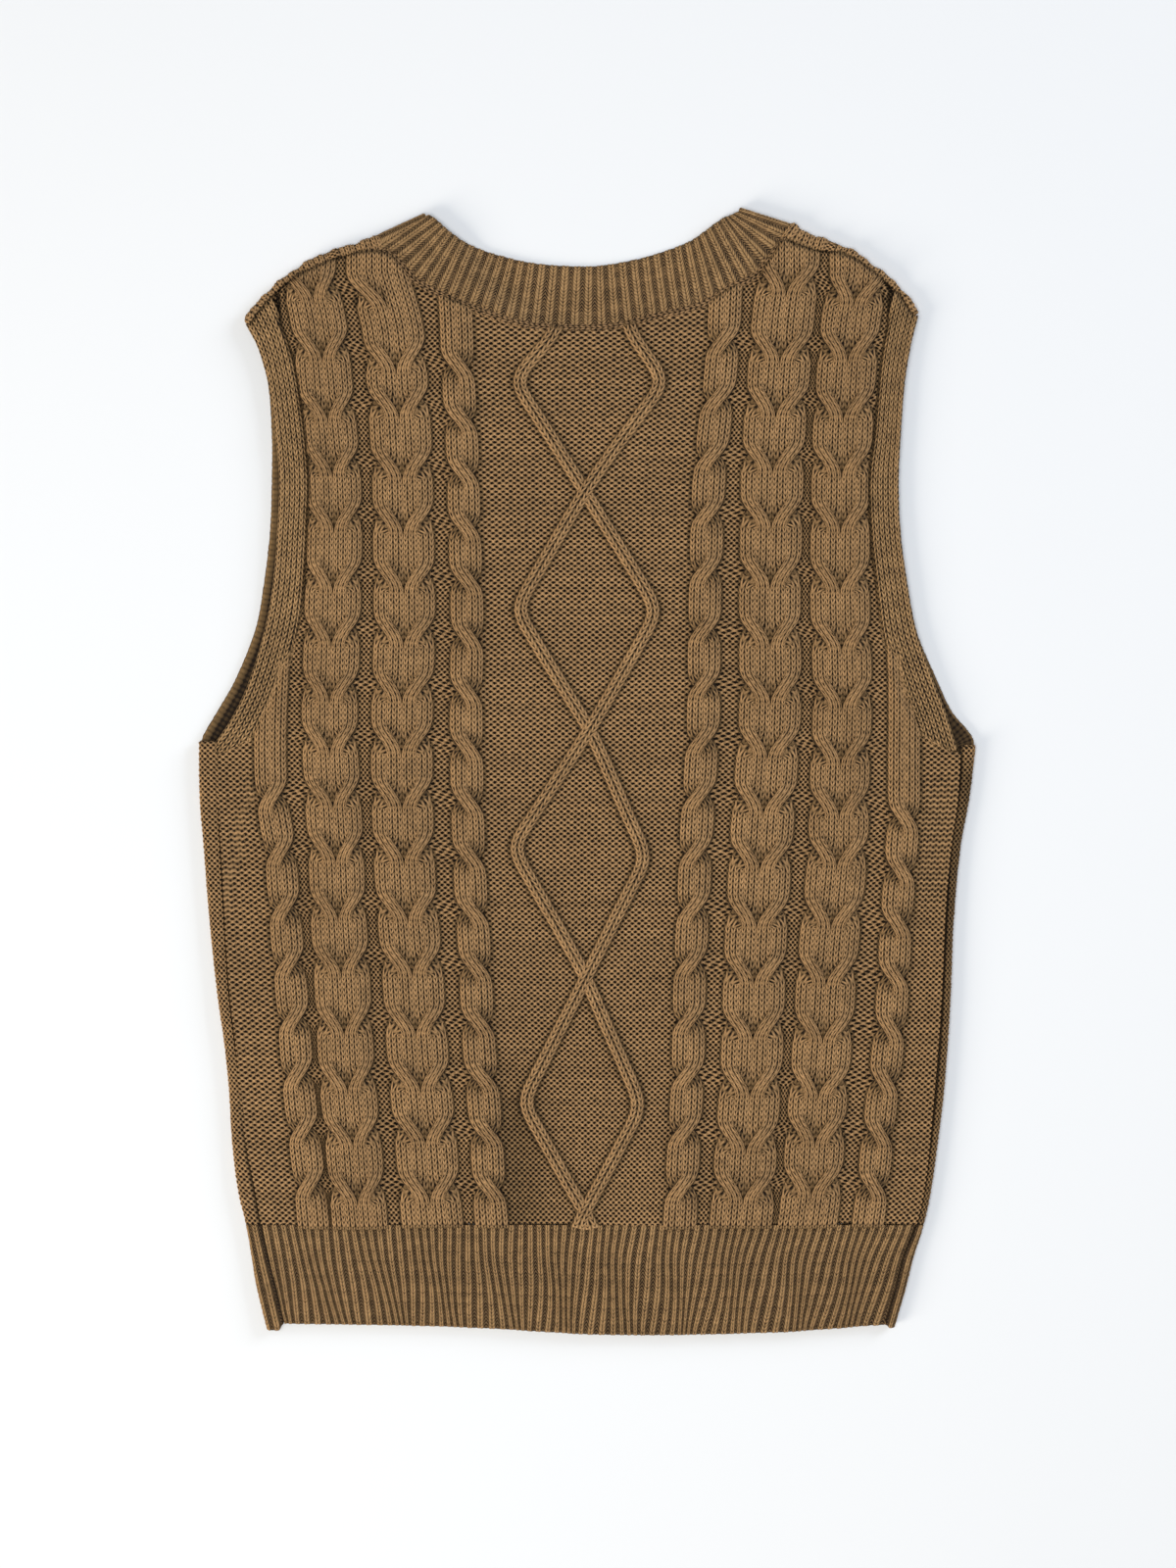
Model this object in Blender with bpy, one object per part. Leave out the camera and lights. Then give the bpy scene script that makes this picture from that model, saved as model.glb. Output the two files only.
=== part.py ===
"""Knitted sweater vest laid flat on its front, neck towards +Y.

The front panel is the lower layer. It rolls over both side edges and both
shoulders, so the seams to the back panel lie on the upper side, a little
inside the outline. The back panel lies on the front one, and sinks to the
surface inside the front's deeper neck opening.

Lengths in the tables are millimetres. Every piece is a wall: a middle surface
worked out as a grid of columns and rows, thickened by a Solidify modifier.
"""

from math import cos, pi, sin

import bpy
from mathutils import Vector

MM = 0.001


def table(columns, *rows):
    """Rows of numbers as dictionaries with the columns' names."""
    names = columns.split()
    return [dict(zip(names, row)) for row in rows]


# Wall thicknesses and spacing
PANEL_WALL = 2.6
RIB_WALL = 3.0
LAYER_STEP = 3.6           # how much higher the upper layer lies
SEAM_GAP = 0.3             # clearance between pieces that are linked together
SLANT_GAP = 0.45           # the same at the neck and the armhole strips, where edges slant
ROLL_RADIUS = LAYER_STEP / 2
ROLL_STEPS = 5             # faces round each half-circle roll

# Heights along the vest, from its middle
HEM_TOP = -250.0
UNDERARM = 16.0
YOKE = 185.2               # above this line the columns run up to the shoulder or neck
YOKE_ROWS = 7
PANEL_ROW = 21.0           # spacing of the rows below the underarm
STRIP_ROWS = (20, 26, 33, 42, 51, 64, 78, 99, 120, 142, 163, YOKE)

# Columns and rows of the other pieces
SHOULDER_FACES = 4
STRIP_FACES = 3
BAND_FACES = 3
HEM_FACES = 17
HEM_ROWS = 4

# Where the shoulders end beside the neck, and where the armhole strips begin at the top
SHOULDER_ENDS = {
    "back": (-120.5, 115.2),
    "front": (-119.6, 115.4),
}
STRIP_TOP = 165.0

# How the back settles into the front's neck opening
SINK_START = 9.0
SINK_LENGTH = 16.0

# Side outlines: outer fold, and the seam on the upper side
SIDES = table(
    "y left_fold left_seam right_seam right_fold",
    (16, -214.6, -204.4, 203.0, 214.6),
    (-15, -214.2, -203.8, 201.2, 210.9),
    (-42, -212.0, -202.8, 199.5, 206.0),
    (-83, -208.7, -200.6, 197.6, 202.2),
    (-123, -204.4, -197.9, 195.8, 200.6),
    (-150, -200.6, -194.7, 194.2, 199.0),
    (-177, -197.9, -191.4, 192.0, 196.8),
    (-204, -196.3, -188.2, 189.0, 193.6),
    (-231, -193.1, -183.3, 185.3, 189.8),
    (-250, -188.7, -179.8, 181.2, 185.8),
    (-268, -185.5, -175.8, 174.2, 180.1),
    (-285, -182.8, -172.5, 169.8, 175.8),
    (-312, -176.0, -168.0, 162.0, 168.0),
)

# Armhole edges of both layers, and the width of the plain knit strip along them
ARMHOLES = table(
    "y back_left front_left back_right front_right strip",
    (247, -189.3, -188.7, 181.7, 181.2, 20.5),
    (234, -182.3, -181.7, 178.5, 178.0, 20.5),
    (213, -176.3, -176.6, 175.2, 174.2, 18.5),
    (185, -172.5, -174.7, 173.1, 171.5, 17.5),
    (161, -170.4, -174.7, 172.0, 170.4, 16.5),
    (131, -171.5, -175.8, 173.1, 171.5, 16.5),
    (100, -174.2, -179.6, 177.4, 175.8, 17.5),
    (78, -178.5, -183.9, 181.7, 181.7, 19.5),
    (51, -186.6, -194.7, 190.9, 193.1, 23.5),
    (33, -194.7, -204.9, 197.9, 201.7, 20.0),
    (20, -202.8, -212.5, 202.0, 210.9, 4.0),
)

# Shoulder folds, and how far inside them the shoulder seam lies on top
LEFT_SHOULDER = table(
    "x fold seam",
    (-189.3, 248.9, 4.0),
    (-181.2, 260.3, 4.0),
    (-166.0, 274.3, 4.2),
    (-153.6, 281.9, 5.4),
    (-138.5, 288.4, 5.4),
    (-117.5, 295.4, 8.2),
)
RIGHT_SHOULDER = table(
    "x fold seam",
    (114.2, 301.9, 9.6),
    (119.1, 298.6, 9.4),
    (125.5, 296.0, 8.9),
    (143.9, 288.9, 4.6),
    (159.0, 278.6, 4.0),
    (174.2, 266.2, 4.0),
    (182.8, 253.8, 4.0),
)

# Neckband sections, from the left fold to the right one
NECK_BACK = table(
    "inner_x inner_y seam_x seam_y",
    (-89.9, 308.3, -117.5, 295.4),
    (-85.6, 304.9, -116.6, 286.6),
    (-82.5, 303.8, -108.8, 285.1),
    (-75.3, 297.5, -94.8, 270.5),
    (-66.2, 291.6, -79.1, 261.9),
    (-52.1, 286.2, -63.5, 255.4),
    (-28.9, 280.8, -33.8, 246.2),
    (-0.8, 279.2, -1.9, 244.6),
    (15.4, 280.8, 18.6, 246.2),
    (34.8, 285.1, 39.2, 251.1),
    (55.9, 292.7, 62.9, 257.0),
    (65.1, 298.6, 79.1, 266.8),
    (74.3, 305.1, 94.2, 274.3),
    (77.4, 306.2, 101.8, 284.6),
    (80.4, 307.6, 107.8, 293.2),
    (84.0, 311.6, 114.2, 301.9),
)
NECK_FRONT = table(
    "inner_x inner_y seam_x seam_y",
    (-89.9, 308.3, -117.5, 295.4),
    (-85.6, 290.0, -116.6, 283.5),
    (-78.0, 271.1, -107.7, 257.0),
    (-64.5, 253.3, -89.4, 230.6),
    (-45.6, 239.2, -62.9, 210.1),
    (-23.5, 231.1, -33.8, 198.2),
    (-0.8, 229.0, -0.8, 194.9),
    (21.9, 231.1, 32.1, 198.2),
    (43.5, 238.7, 61.3, 210.6),
    (62.4, 252.7, 86.7, 231.7),
    (75.3, 271.1, 105.6, 259.2),
    (81.3, 291.1, 111.4, 283.5),
    (84.0, 311.6, 114.2, 301.9),
)

# Lower edge of the hem
HEM_EDGE = table(
    "x y",
    (-169.0, -304.8),
    (-75.0, -306.7),
    (11.0, -311.0),
    (97.0, -309.8),
    (161.0, -305.6),
)

# Linear colour and roughness of each knit
KNITS = {
    "purl_and_cable_knit": ((0.20, 0.115, 0.052, 1.0), 0.92),
    "rib_knit": ((0.18, 0.105, 0.048, 1.0), 0.93),
    "edge_knit": ((0.22, 0.125, 0.056, 1.0), 0.92),
}


def blend(a, b, share):
    return a + (b - a) * share


def spread(start, end, faces):
    """Evenly spaced values from start to end."""
    return [blend(start, end, i / faces) for i in range(faces + 1)]


def ease(share):
    """Smooth step from 0 to 1."""
    share = min(max(share, 0.0), 1.0)
    return share * share * (3 - 2 * share)


def read(rows, key, name, at):
    """One column of a table as a smooth curve of another, held level past its ends."""
    rows = sorted(rows, key=lambda row: row[key])
    at = min(max(at, rows[0][key]), rows[-1][key])
    i = 0
    while i < len(rows) - 2 and rows[i + 1][key] < at:
        i += 1

    def slope(j):
        low = rows[max(j - 1, 0)]
        high = rows[min(j + 1, len(rows) - 1)]
        return (high[name] - low[name]) / (high[key] - low[key])

    span = rows[i + 1][key] - rows[i][key]
    t = (at - rows[i][key]) / span
    start = rows[i][name] * (1 + 2 * t) * (1 - t) ** 2
    end = rows[i + 1][name] * t * t * (3 - 2 * t)
    leaving = slope(i) * span * t * (1 - t) ** 2
    arriving = slope(i + 1) * span * t * t * (1 - t)
    return start + end + leaving - arriving


def side(name, y):
    return read(SIDES, "y", name, y)


def armhole(name, y):
    return read(ARMHOLES, "y", name, y)


def inner_point(section):
    return Vector((section["inner_x"], section["inner_y"]))


def seam_point(section):
    return Vector((section["seam_x"], section["seam_y"]))


def below_seam(section):
    """Point on a panel's edge just outside one neckband section."""
    seam = seam_point(section)
    return seam + (seam - inner_point(section)).normalized() * SLANT_GAP


def shoulder_rows(x):
    return LEFT_SHOULDER if x < 0 else RIGHT_SHOULDER


def shoulder_seam(x):
    """Distance of the shoulder seam inside the fold."""
    return read(shoulder_rows(x), "x", "seam", x)


def shoulder_point(x, inward):
    """Point a given distance straight inside the shoulder fold."""
    rows = shoulder_rows(x)
    reach = 3.0
    low = max(x - reach, rows[0]["x"])
    high = min(x + reach, rows[-1]["x"])
    drop = read(rows, "x", "fold", low) - read(rows, "x", "fold", high)
    outward = Vector((drop, high - low)).normalized()
    return Vector((x, read(rows, "x", "fold", x))) - outward * inward


def depth_in_neck(spot):
    """How far a point lies inside the front's neck opening, or 0 outside it."""
    edge = [inner_point(section) for section in NECK_FRONT]
    nearest = None
    inside = False
    for start, end in zip(edge, edge[1:]):
        run = end - start
        share = min(max((spot - start).dot(run) / run.length_squared, 0.0), 1.0)
        away = (spot - start - run * share).length
        nearest = away if nearest is None else min(nearest, away)
        if start.x <= spot.x <= end.x:
            inside = spot.y > blend(start.y, end.y, (spot.x - start.x) / run.x)
    return nearest if inside else 0.0


def upper_step(spot):
    """How far the upper layer lies above the lower one's level."""
    sunk = ease((depth_in_neck(spot) - SINK_START) / SINK_LENGTH)
    return LAYER_STEP * (1 - sunk)


def thicken(name, grid, wall, material, closed_after=None):
    """Closed wall round a grid of middle points, given as {(column, row): point}.

    With closed_after, the columns go round a ring of that many.
    """
    order = sorted(grid)
    index = {key: i for i, key in enumerate(order)}
    faces = []
    for c, r in order:
        beside = (c + 1) % closed_after if closed_after else c + 1
        corners = [(c, r), (beside, r), (beside, r + 1), (c, r + 1)]
        if all(corner in grid for corner in corners):
            faces.append([index[corner] for corner in corners])
    mesh = bpy.data.meshes.new(name)
    mesh.from_pydata([Vector(grid[key]) * MM for key in order], [], faces)
    mesh.update()
    mesh.shade_smooth()
    mesh.materials.append(material)
    piece = bpy.data.objects.new(name, mesh)
    bpy.context.scene.collection.objects.link(piece)
    solid = piece.modifiers.new("wall", "SOLIDIFY")
    solid.thickness = wall * MM
    solid.offset = 0.0
    solid.use_even_offset = True
    solid.use_quality_normals = True


def fold_inset(wall):
    """Distance from a fold's outside in to where its middle surface starts to roll."""
    return ROLL_RADIUS + wall / 2


def roll_section(step):
    """Reach past the start of a roll and rise, at one of its steps."""
    angle = pi * step / ROLL_STEPS
    return ROLL_RADIUS * sin(angle), ROLL_RADIUS * (1 - cos(angle))


def add_shoulder_roll(grid, column, row, x):
    """Carry one column over the shoulder fold and down to the seam on top."""
    low = PANEL_WALL / 2
    for step in range(1, ROLL_STEPS + 1):
        reach, rise = roll_section(step)
        spot = shoulder_point(x, fold_inset(PANEL_WALL) - reach)
        grid[column, row + step] = (*spot, low + rise)
    spot = shoulder_point(x, shoulder_seam(x))
    grid[column, row + ROLL_STEPS + 1] = (*spot, low + LAYER_STEP)


def add_side_rolls(grid, heights, columns, wall):
    """Carry rows over both side folds and in to the side seams on top."""
    low = wall / 2
    for r, y in heights:
        left, right = inside_folds(y, wall)
        for step in range(1, ROLL_STEPS + 1):
            reach, rise = roll_section(step)
            grid[-step, r] = (left - reach, y, low + rise)
            grid[columns - 1 + step, r] = (right + reach, y, low + rise)
        top = low + LAYER_STEP
        grid[-ROLL_STEPS - 1, r] = (side("left_seam", y), y, top)
        grid[columns + ROLL_STEPS, r] = (side("right_seam", y), y, top)


def inside_folds(y, wall=PANEL_WALL):
    """Where the lower layer's flat part ends at each side."""
    return side("left_fold", y) + fold_inset(wall), side("right_fold", y) - fold_inset(wall)


def inside_seams(y):
    """Where the upper layer ends at each side."""
    return side("left_seam", y) + SEAM_GAP, side("right_seam", y) - SEAM_GAP


def shoulder_top(layer, x):
    """Where a layer's flat part ends at the shoulder: at the seam or where the fold starts."""
    depth = fold_inset(PANEL_WALL)
    if layer == "back":
        depth = shoulder_seam(x) + SEAM_GAP
    return shoulder_point(x, depth)


def panel_tops(layer, sections):
    """Each column of a panel: its upper end, its share across, and its place on the shoulder."""
    left_end, right_end = SHOULDER_ENDS[layer]
    outer = STRIP_TOP - SLANT_GAP
    tops = []

    def add(spot, x, shoulder_x):
        tops.append((spot, (x + outer) / (2 * outer), shoulder_x))

    def add_shoulder(start, end):
        for x in spread(start, end, SHOULDER_FACES):
            add(shoulder_top(layer, x), x, x)

    add_shoulder(-outer, left_end)
    for section in sections[1:-1]:
        spot = below_seam(section)
        add(spot, spot.x, None)
    add_shoulder(right_end, outer)
    return tops


def panel_rows():
    """Heights of a panel's rows, from the hem to the yoke line."""
    start = HEM_TOP + SEAM_GAP
    body = spread(start, UNDERARM, round((UNDERARM - start) / PANEL_ROW))
    return [*body, *STRIP_ROWS]


def panel_grid(layer, tops, sides, height):
    """Grid of one panel from the hem up to the shoulders and the neck."""
    rows = panel_rows()
    grid = {}
    for c, (top, share, _) in enumerate(tops):
        for r, y in enumerate(rows):
            if y <= UNDERARM:
                left, right = sides(y)
            else:
                inset = armhole("strip", y) + SLANT_GAP
                left = armhole(f"{layer}_left", y) + inset
                right = armhole(f"{layer}_right", y) - inset
            spot = Vector((blend(left, right, share), y))
            grid[c, r] = (*spot, height(spot))
        yoke = spot
        for k in range(1, YOKE_ROWS + 1):
            spot = yoke.lerp(top, k / YOKE_ROWS)
            grid[c, len(rows) - 1 + k] = (*spot, height(spot))
    return grid


def back_panel(material):
    def height(spot):
        return PANEL_WALL / 2 + upper_step(spot)

    tops = panel_tops("back", NECK_BACK)
    grid = panel_grid("back", tops, inside_seams, height)
    thicken("back_panel", grid, PANEL_WALL, material)


def front_panel(material):
    tops = panel_tops("front", NECK_FRONT)
    grid = panel_grid("front", tops, inside_folds, lambda spot: PANEL_WALL / 2)
    rows = panel_rows()
    for c, (_, _, shoulder_x) in enumerate(tops):
        if shoulder_x is not None:
            add_shoulder_roll(grid, c, len(rows) - 1 + YOKE_ROWS, shoulder_x)
    heights = [(r, y) for r, y in enumerate(rows) if y <= UNDERARM]
    add_side_rolls(grid, heights, len(tops), PANEL_WALL)
    thicken("front_panel", grid, PANEL_WALL, material)


def hem_rib(layer, material):
    """Ribbed hem of one layer. The front one rolls over at both sides as its panel does."""
    upper = layer == "back"
    height = RIB_WALL / 2 + (LAYER_STEP if upper else 0.0)
    start = HEM_TOP - SEAM_GAP
    ends = HEM_EDGE[0]["x"], HEM_EDGE[-1]["x"]
    grid = {}
    for c in range(HEM_FACES + 1):
        share = c / HEM_FACES
        bottom = read(HEM_EDGE, "x", "y", blend(*ends, share))
        for r in range(HEM_ROWS + 1):
            y = blend(bottom, start, r / HEM_ROWS)
            sides = inside_seams(y) if upper else inside_folds(y, RIB_WALL)
            grid[c, r] = (blend(*sides, share), y, height)
    if not upper:
        heights = [(r, grid[0, r][1]) for r in range(HEM_ROWS + 1)]
        add_side_rolls(grid, heights, HEM_FACES + 1, RIB_WALL)
    thicken(f"{layer}_hem_rib", grid, RIB_WALL, material)


def armhole_edge(layer, hand, material):
    """Strip of plain knit along one armhole of one layer, from the underarm to the shoulder."""
    edge = f"{layer}_{hand}"
    inward = 1 if hand == "left" else -1
    height = PANEL_WALL / 2 + (LAYER_STEP if layer == "back" else 0.0)
    tip_x = LEFT_SHOULDER[0]["x"] if hand == "left" else RIGHT_SHOULDER[-1]["x"]
    ends = (tip_x, -inward * STRIP_TOP)
    outer_top, inner_top = [shoulder_top(layer, x) for x in ends]
    yoke = Vector((armhole(edge, YOKE) + inward * armhole("strip", YOKE), YOKE))
    last = len(STRIP_ROWS) - 1
    grid = {}
    for c in range(STRIP_FACES + 1):
        share = c / STRIP_FACES
        column = c * inward
        for r, y in enumerate(STRIP_ROWS):
            x = armhole(edge, y) + inward * share * armhole("strip", y)
            grid[column, r] = (x, y, height)
        for k in range(1, YOKE_ROWS + 1):
            part = k / YOKE_ROWS
            y = blend(YOKE, outer_top.y, part)
            outer = Vector((armhole(edge, y), y)).lerp(outer_top, part ** 6)
            spot = outer.lerp(yoke.lerp(inner_top, part), share)
            grid[column, last + k] = (*spot, height)
        if layer == "front":
            add_shoulder_roll(grid, column, last + YOKE_ROWS, blend(*ends, share))
    thicken(f"{layer}_armhole_edge_{hand}", grid, PANEL_WALL, material)


def band_spots(section):
    """Points across the neckband at one section, from its inner edge to its seam."""
    inner, seam = inner_point(section), seam_point(section)
    return [inner.lerp(seam, k / BAND_FACES) for k in range(BAND_FACES + 1)]


def band_fold(section, hand):
    """Lines of points round the fold at one end of the flattened ring, from below to above."""
    low = RIB_WALL / 2
    spots = band_spots(section)
    along = (spots[-1] - spots[0]).normalized()
    outward = Vector((-along.y, along.x))
    if (outward.x < 0) != (hand == "left"):
        outward.negate()
    lines = []
    for step in range(ROLL_STEPS + 1):
        reach, rise = roll_section(step)
        shift = outward * (reach - fold_inset(RIB_WALL))
        lines.append([(*(spot + shift), low + rise) for spot in spots])
    return lines


def neckband(material):
    """Ring folded flat: back sections on top, front sections below, a roll at each end."""
    low = RIB_WALL / 2
    ring = band_fold(NECK_BACK[0], "left")
    for section in NECK_BACK[1:-1]:
        ring.append([(*spot, low + upper_step(spot)) for spot in band_spots(section)])
    ring += reversed(band_fold(NECK_BACK[-1], "right"))
    for section in reversed(NECK_FRONT[1:-1]):
        ring.append([(*spot, low) for spot in band_spots(section)])
    grid = {(c, r): spot for c, line in enumerate(ring) for r, spot in enumerate(line)}
    thicken("neckband", grid, RIB_WALL, material, closed_after=len(ring))


def knit_material(name):
    colour, roughness = KNITS[name]
    material = bpy.data.materials.new(name)
    material.use_nodes = True
    shader = material.node_tree.nodes["Principled BSDF"]
    shader.inputs["Base Color"].default_value = colour
    shader.inputs["Roughness"].default_value = roughness
    shader.inputs["Metallic"].default_value = 0.0
    return material


def main():
    for old in list(bpy.data.objects):
        bpy.data.objects.remove(old, do_unlink=True)
    panel = knit_material("purl_and_cable_knit")
    rib = knit_material("rib_knit")
    edge = knit_material("edge_knit")
    back_panel(panel)
    front_panel(panel)
    neckband(rib)
    for layer in ("back", "front"):
        hem_rib(layer, rib)
        for hand in ("left", "right"):
            armhole_edge(layer, hand, edge)


main()
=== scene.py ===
import bpy
import numpy as np
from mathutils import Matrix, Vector


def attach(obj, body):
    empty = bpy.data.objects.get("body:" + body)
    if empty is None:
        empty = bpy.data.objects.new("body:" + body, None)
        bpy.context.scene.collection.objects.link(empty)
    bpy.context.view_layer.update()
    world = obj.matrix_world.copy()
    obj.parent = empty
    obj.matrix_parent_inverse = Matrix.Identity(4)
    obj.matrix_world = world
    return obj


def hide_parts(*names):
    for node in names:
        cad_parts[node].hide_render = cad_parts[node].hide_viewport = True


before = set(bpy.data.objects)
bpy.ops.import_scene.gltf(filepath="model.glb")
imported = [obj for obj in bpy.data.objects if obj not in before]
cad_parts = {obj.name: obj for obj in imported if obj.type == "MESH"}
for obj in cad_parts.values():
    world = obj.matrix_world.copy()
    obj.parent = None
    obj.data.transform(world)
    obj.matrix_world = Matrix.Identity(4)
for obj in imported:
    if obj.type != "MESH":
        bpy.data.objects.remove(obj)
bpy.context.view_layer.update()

# A knitted sweater vest that lies flat, back side up. Each stretch of knitting is a grid of points
# that follows its stitches: a place function says where stitch u of course v lies and which way it
# faces, and knitPatch lays the stitches' own relief on it

mm = 0.001                     # tables and sizes below are millimetres, meshes are metres
chance = np.random.default_rng(11)


def table(columns, *rows):
    values = np.array(rows, float)
    return {name: values[:, i] for i, name in enumerate(columns.split())}


# The garment's outline, neck towards +y, the back panel uppermost
sides = table(
    "y leftFold leftSeam rightSeam rightFold",
    (16, -214.6, -204.4, 206.3, 214.6),
    (-15, -214.2, -203.8, 204.0, 210.9),
    (-42, -212.0, -202.8, 200.2, 206.0),
    (-83, -208.7, -200.6, 197.6, 202.2),
    (-123, -204.4, -197.9, 195.8, 200.6),
    (-150, -200.6, -194.7, 194.2, 199.0),
    (-177, -197.9, -191.4, 192.0, 196.8),
    (-204, -196.3, -188.2, 189.0, 193.6),
    (-231, -193.1, -183.3, 185.3, 189.8),
    (-250, -188.7, -179.8, 181.2, 185.8),
    (-268, -185.5, -175.8, 174.2, 180.1),
    (-285, -182.8, -171.5, 169.8, 175.8),
    (-312, -176.0, -165.5, 162.0, 168.0),
)
armholes = table(
    "y backLeft frontLeft backRight frontRight",
    (247, -189.3, -188.7, 181.7, 181.2),
    (234, -182.3, -181.7, 178.5, 178.0),
    (213, -176.3, -176.6, 175.2, 174.2),
    (185, -172.5, -174.7, 173.1, 171.5),
    (161, -170.4, -174.7, 172.0, 170.4),
    (131, -171.5, -175.8, 173.1, 171.5),
    (100, -174.2, -179.6, 177.4, 175.8),
    (78, -178.5, -183.9, 181.7, 181.7),
    (51, -186.6, -194.7, 190.9, 193.1),
    (33, -194.7, -204.9, 197.9, 201.7),
    (20, -202.8, -212.5, 202.0, 212.4),
    (12, -209.5, -214.6, 204.8, 214.6),
)
# Where the plain knit strips along the armholes end inwards, and where they run out below
stripInner = table(
    "y left right",
    (247, -170.0, 166.0),
    (234, -164.5, 163.5),
    (213, -159.8, 161.0),
    (185, -155.8, 158.5),
    (161, -153.9, 155.5),
    (131, -155.0, 156.6),
    (100, -156.7, 159.9),
    (78, -159.8, 162.6),
    (66, -164.0, 166.6),
    (43, -169.0, 170.7),
    (22.5, -182.0, 183.0),
    (12, -197.0, 197.5),
    (8, -207.0, 206.0),
)
leftShoulder = table(
    "x fold seam",
    (-189.3, 248.9, 4.0),
    (-181.2, 260.3, 4.0),
    (-166.0, 274.3, 4.2),
    (-153.6, 281.9, 5.4),
    (-138.5, 288.4, 5.4),
    (-117.5, 295.4, 8.2),
)
rightShoulder = table(
    "x fold seam",
    (114.2, 301.9, 9.6),
    (119.1, 298.6, 9.4),
    (125.5, 296.0, 8.9),
    (143.9, 288.9, 4.6),
    (159.0, 278.6, 4.0),
    (174.2, 266.2, 4.0),
    (182.8, 253.8, 4.0),
)
neckBack = table(
    "innerX innerY seamX seamY",
    (-89.9, 308.3, -117.5, 295.4),
    (-87.0, 307.0, -116.6, 286.6),
    (-82.5, 303.8, -108.8, 285.1),
    (-75.3, 297.5, -94.8, 270.5),
    (-66.2, 291.6, -79.1, 261.9),
    (-52.1, 286.2, -63.5, 255.4),
    (-28.9, 280.8, -33.8, 246.2),
    (-0.8, 279.2, -1.9, 244.6),
    (15.4, 280.8, 18.6, 246.2),
    (34.8, 285.1, 39.2, 251.1),
    (55.9, 292.7, 62.9, 257.0),
    (65.1, 298.6, 79.1, 266.8),
    (74.3, 305.1, 94.2, 274.3),
    (77.4, 306.2, 101.8, 284.6),
    (80.4, 307.6, 107.8, 293.2),
    (84.0, 311.6, 114.2, 301.9),
)
neckFront = table(
    "innerX innerY seamX seamY",
    (-89.9, 308.3, -117.5, 295.4),
    (-85.6, 290.0, -116.6, 283.5),
    (-78.0, 271.1, -107.7, 257.0),
    (-64.5, 253.3, -89.4, 230.6),
    (-45.6, 239.2, -62.9, 210.1),
    (-23.5, 231.1, -33.8, 198.2),
    (-0.8, 229.0, -0.8, 194.9),
    (21.9, 231.1, 32.1, 198.2),
    (43.5, 238.7, 61.3, 210.6),
    (62.4, 252.7, 86.7, 231.7),
    (75.3, 271.1, 105.6, 259.2),
    (81.3, 291.1, 111.4, 283.5),
    (84.0, 311.6, 114.2, 301.9),
)
hemEdge = table(
    "x y",
    (-169.0, -304.8),
    (-75.0, -306.7),
    (11.0, -311.0),
    (97.0, -309.8),
    (161.0, -305.6),
)

cloth = {
    "course": 3.03,            # height of one row of stitches
    "hemTop": -250.0,
    "underarm": 16.0,
    "panelTop": 300.0,         # rows of stitches run up to here and are cut off at the panel's edge
    "lowest": 0.12,            # level of the crests that lie on the surface
    "lowerTop": 2.2,           # level of the crests where the back lies on the surface
    "layerStep": 3.6,          # how much higher it lies on the front
    "neckCentre": (-2.5, 315.0),   # the front's neck opening is close to this circle
    "neckRadius": 86.0,
    "sinkStart": 9.0,
    "sinkLength": 16.0,
    "foldRadius": 2.9,         # outside of the folds at the sides and shoulders
    "foldRun": 3.0,            # how far the rolled pieces go on beneath, past the fold
    "rimRadius": 1.35,         # rounding of a single layer's free edge
    "tuck": 1.7,               # how deep a panel's edge is drawn down at a seam
}

# Soft creases: a line from one end to the other, its half width, and its height
creases = table(
    "x0 y0 x1 y1 width height",
    (-34, -22, 50, -23, 2.6, -0.55),
    (-212, 4, -186, -30, 7.0, 0.7),
    (-206, -60, -203, -150, 2.4, 0.8),
    (-196, -8, -190, -96, 6.0, -0.7),
    (196, -10, 190, -80, 6.0, -0.6),
    (204, -2, 182, -34, 6.0, 0.6),
    (-178, -214, -172, -252, 5.0, 0.6),
    (176, -206, 170, -252, 5.0, 0.5),
    (-120, 60, -60, 36, 16.0, 0.5),
    (60, 92, 132, 70, 16.0, 0.5),
    (-40, -150, 46, -168, 18.0, -0.5),
    (-44, -168, -34, -256, 8.0, -1.0),
    (-150, -110, -96, -128, 16.0, 0.5),
    (84, -60, 150, -44, 14.0, -0.5),
    (-30, 206, 30, 200, 15.0, 0.5),
)


def smooth(share):
    share = np.clip(share, 0, 1)
    return share * share * (3 - 2 * share)


def read(rows, key, name, at):
    # a table's column as a smooth curve of another one, level past its ends
    order = np.argsort(rows[key], kind="stable")
    known, value = rows[key][order], rows[name][order]
    slope = np.empty_like(value)
    slope[1:-1] = (value[2:] - value[:-2]) / (known[2:] - known[:-2])
    slope[0] = (value[1] - value[0]) / (known[1] - known[0])
    slope[-1] = (value[-1] - value[-2]) / (known[-1] - known[-2])
    at = np.clip(at, known[0], known[-1])
    i = np.clip(np.searchsorted(known, at) - 1, 0, len(known) - 2)
    span = known[i + 1] - known[i]
    t = (at - known[i]) / span
    start = value[i] * (1 + 2 * t) * (1 - t) ** 2 + slope[i] * span * t * (1 - t) ** 2
    end = value[i + 1] * t * t * (3 - 2 * t) - slope[i + 1] * span * t * t * (1 - t)
    return start + end


def heightOf(course):
    return cloth["hemTop"] + course * cloth["course"]


def coursesTo(y):
    return (y - cloth["hemTop"]) / cloth["course"]


def unit(vectors):
    return vectors / np.linalg.norm(vectors, axis=-1, keepdims=True)


def spot(*parts):
    # separate coordinates joined into points
    return np.stack(np.broadcast_arrays(*parts), -1).astype(float)


up = np.array((0.0, 0.0, 1.0))


def sunk(x, y):
    # 0 where the back lies on the front, 1 where it lies on the surface inside the front's neck
    centreX, centreY = cloth["neckCentre"]
    depth = cloth["neckRadius"] - np.hypot(x - centreX, y - centreY)
    return smooth((depth - cloth["sinkStart"]) / cloth["sinkLength"])


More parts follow.
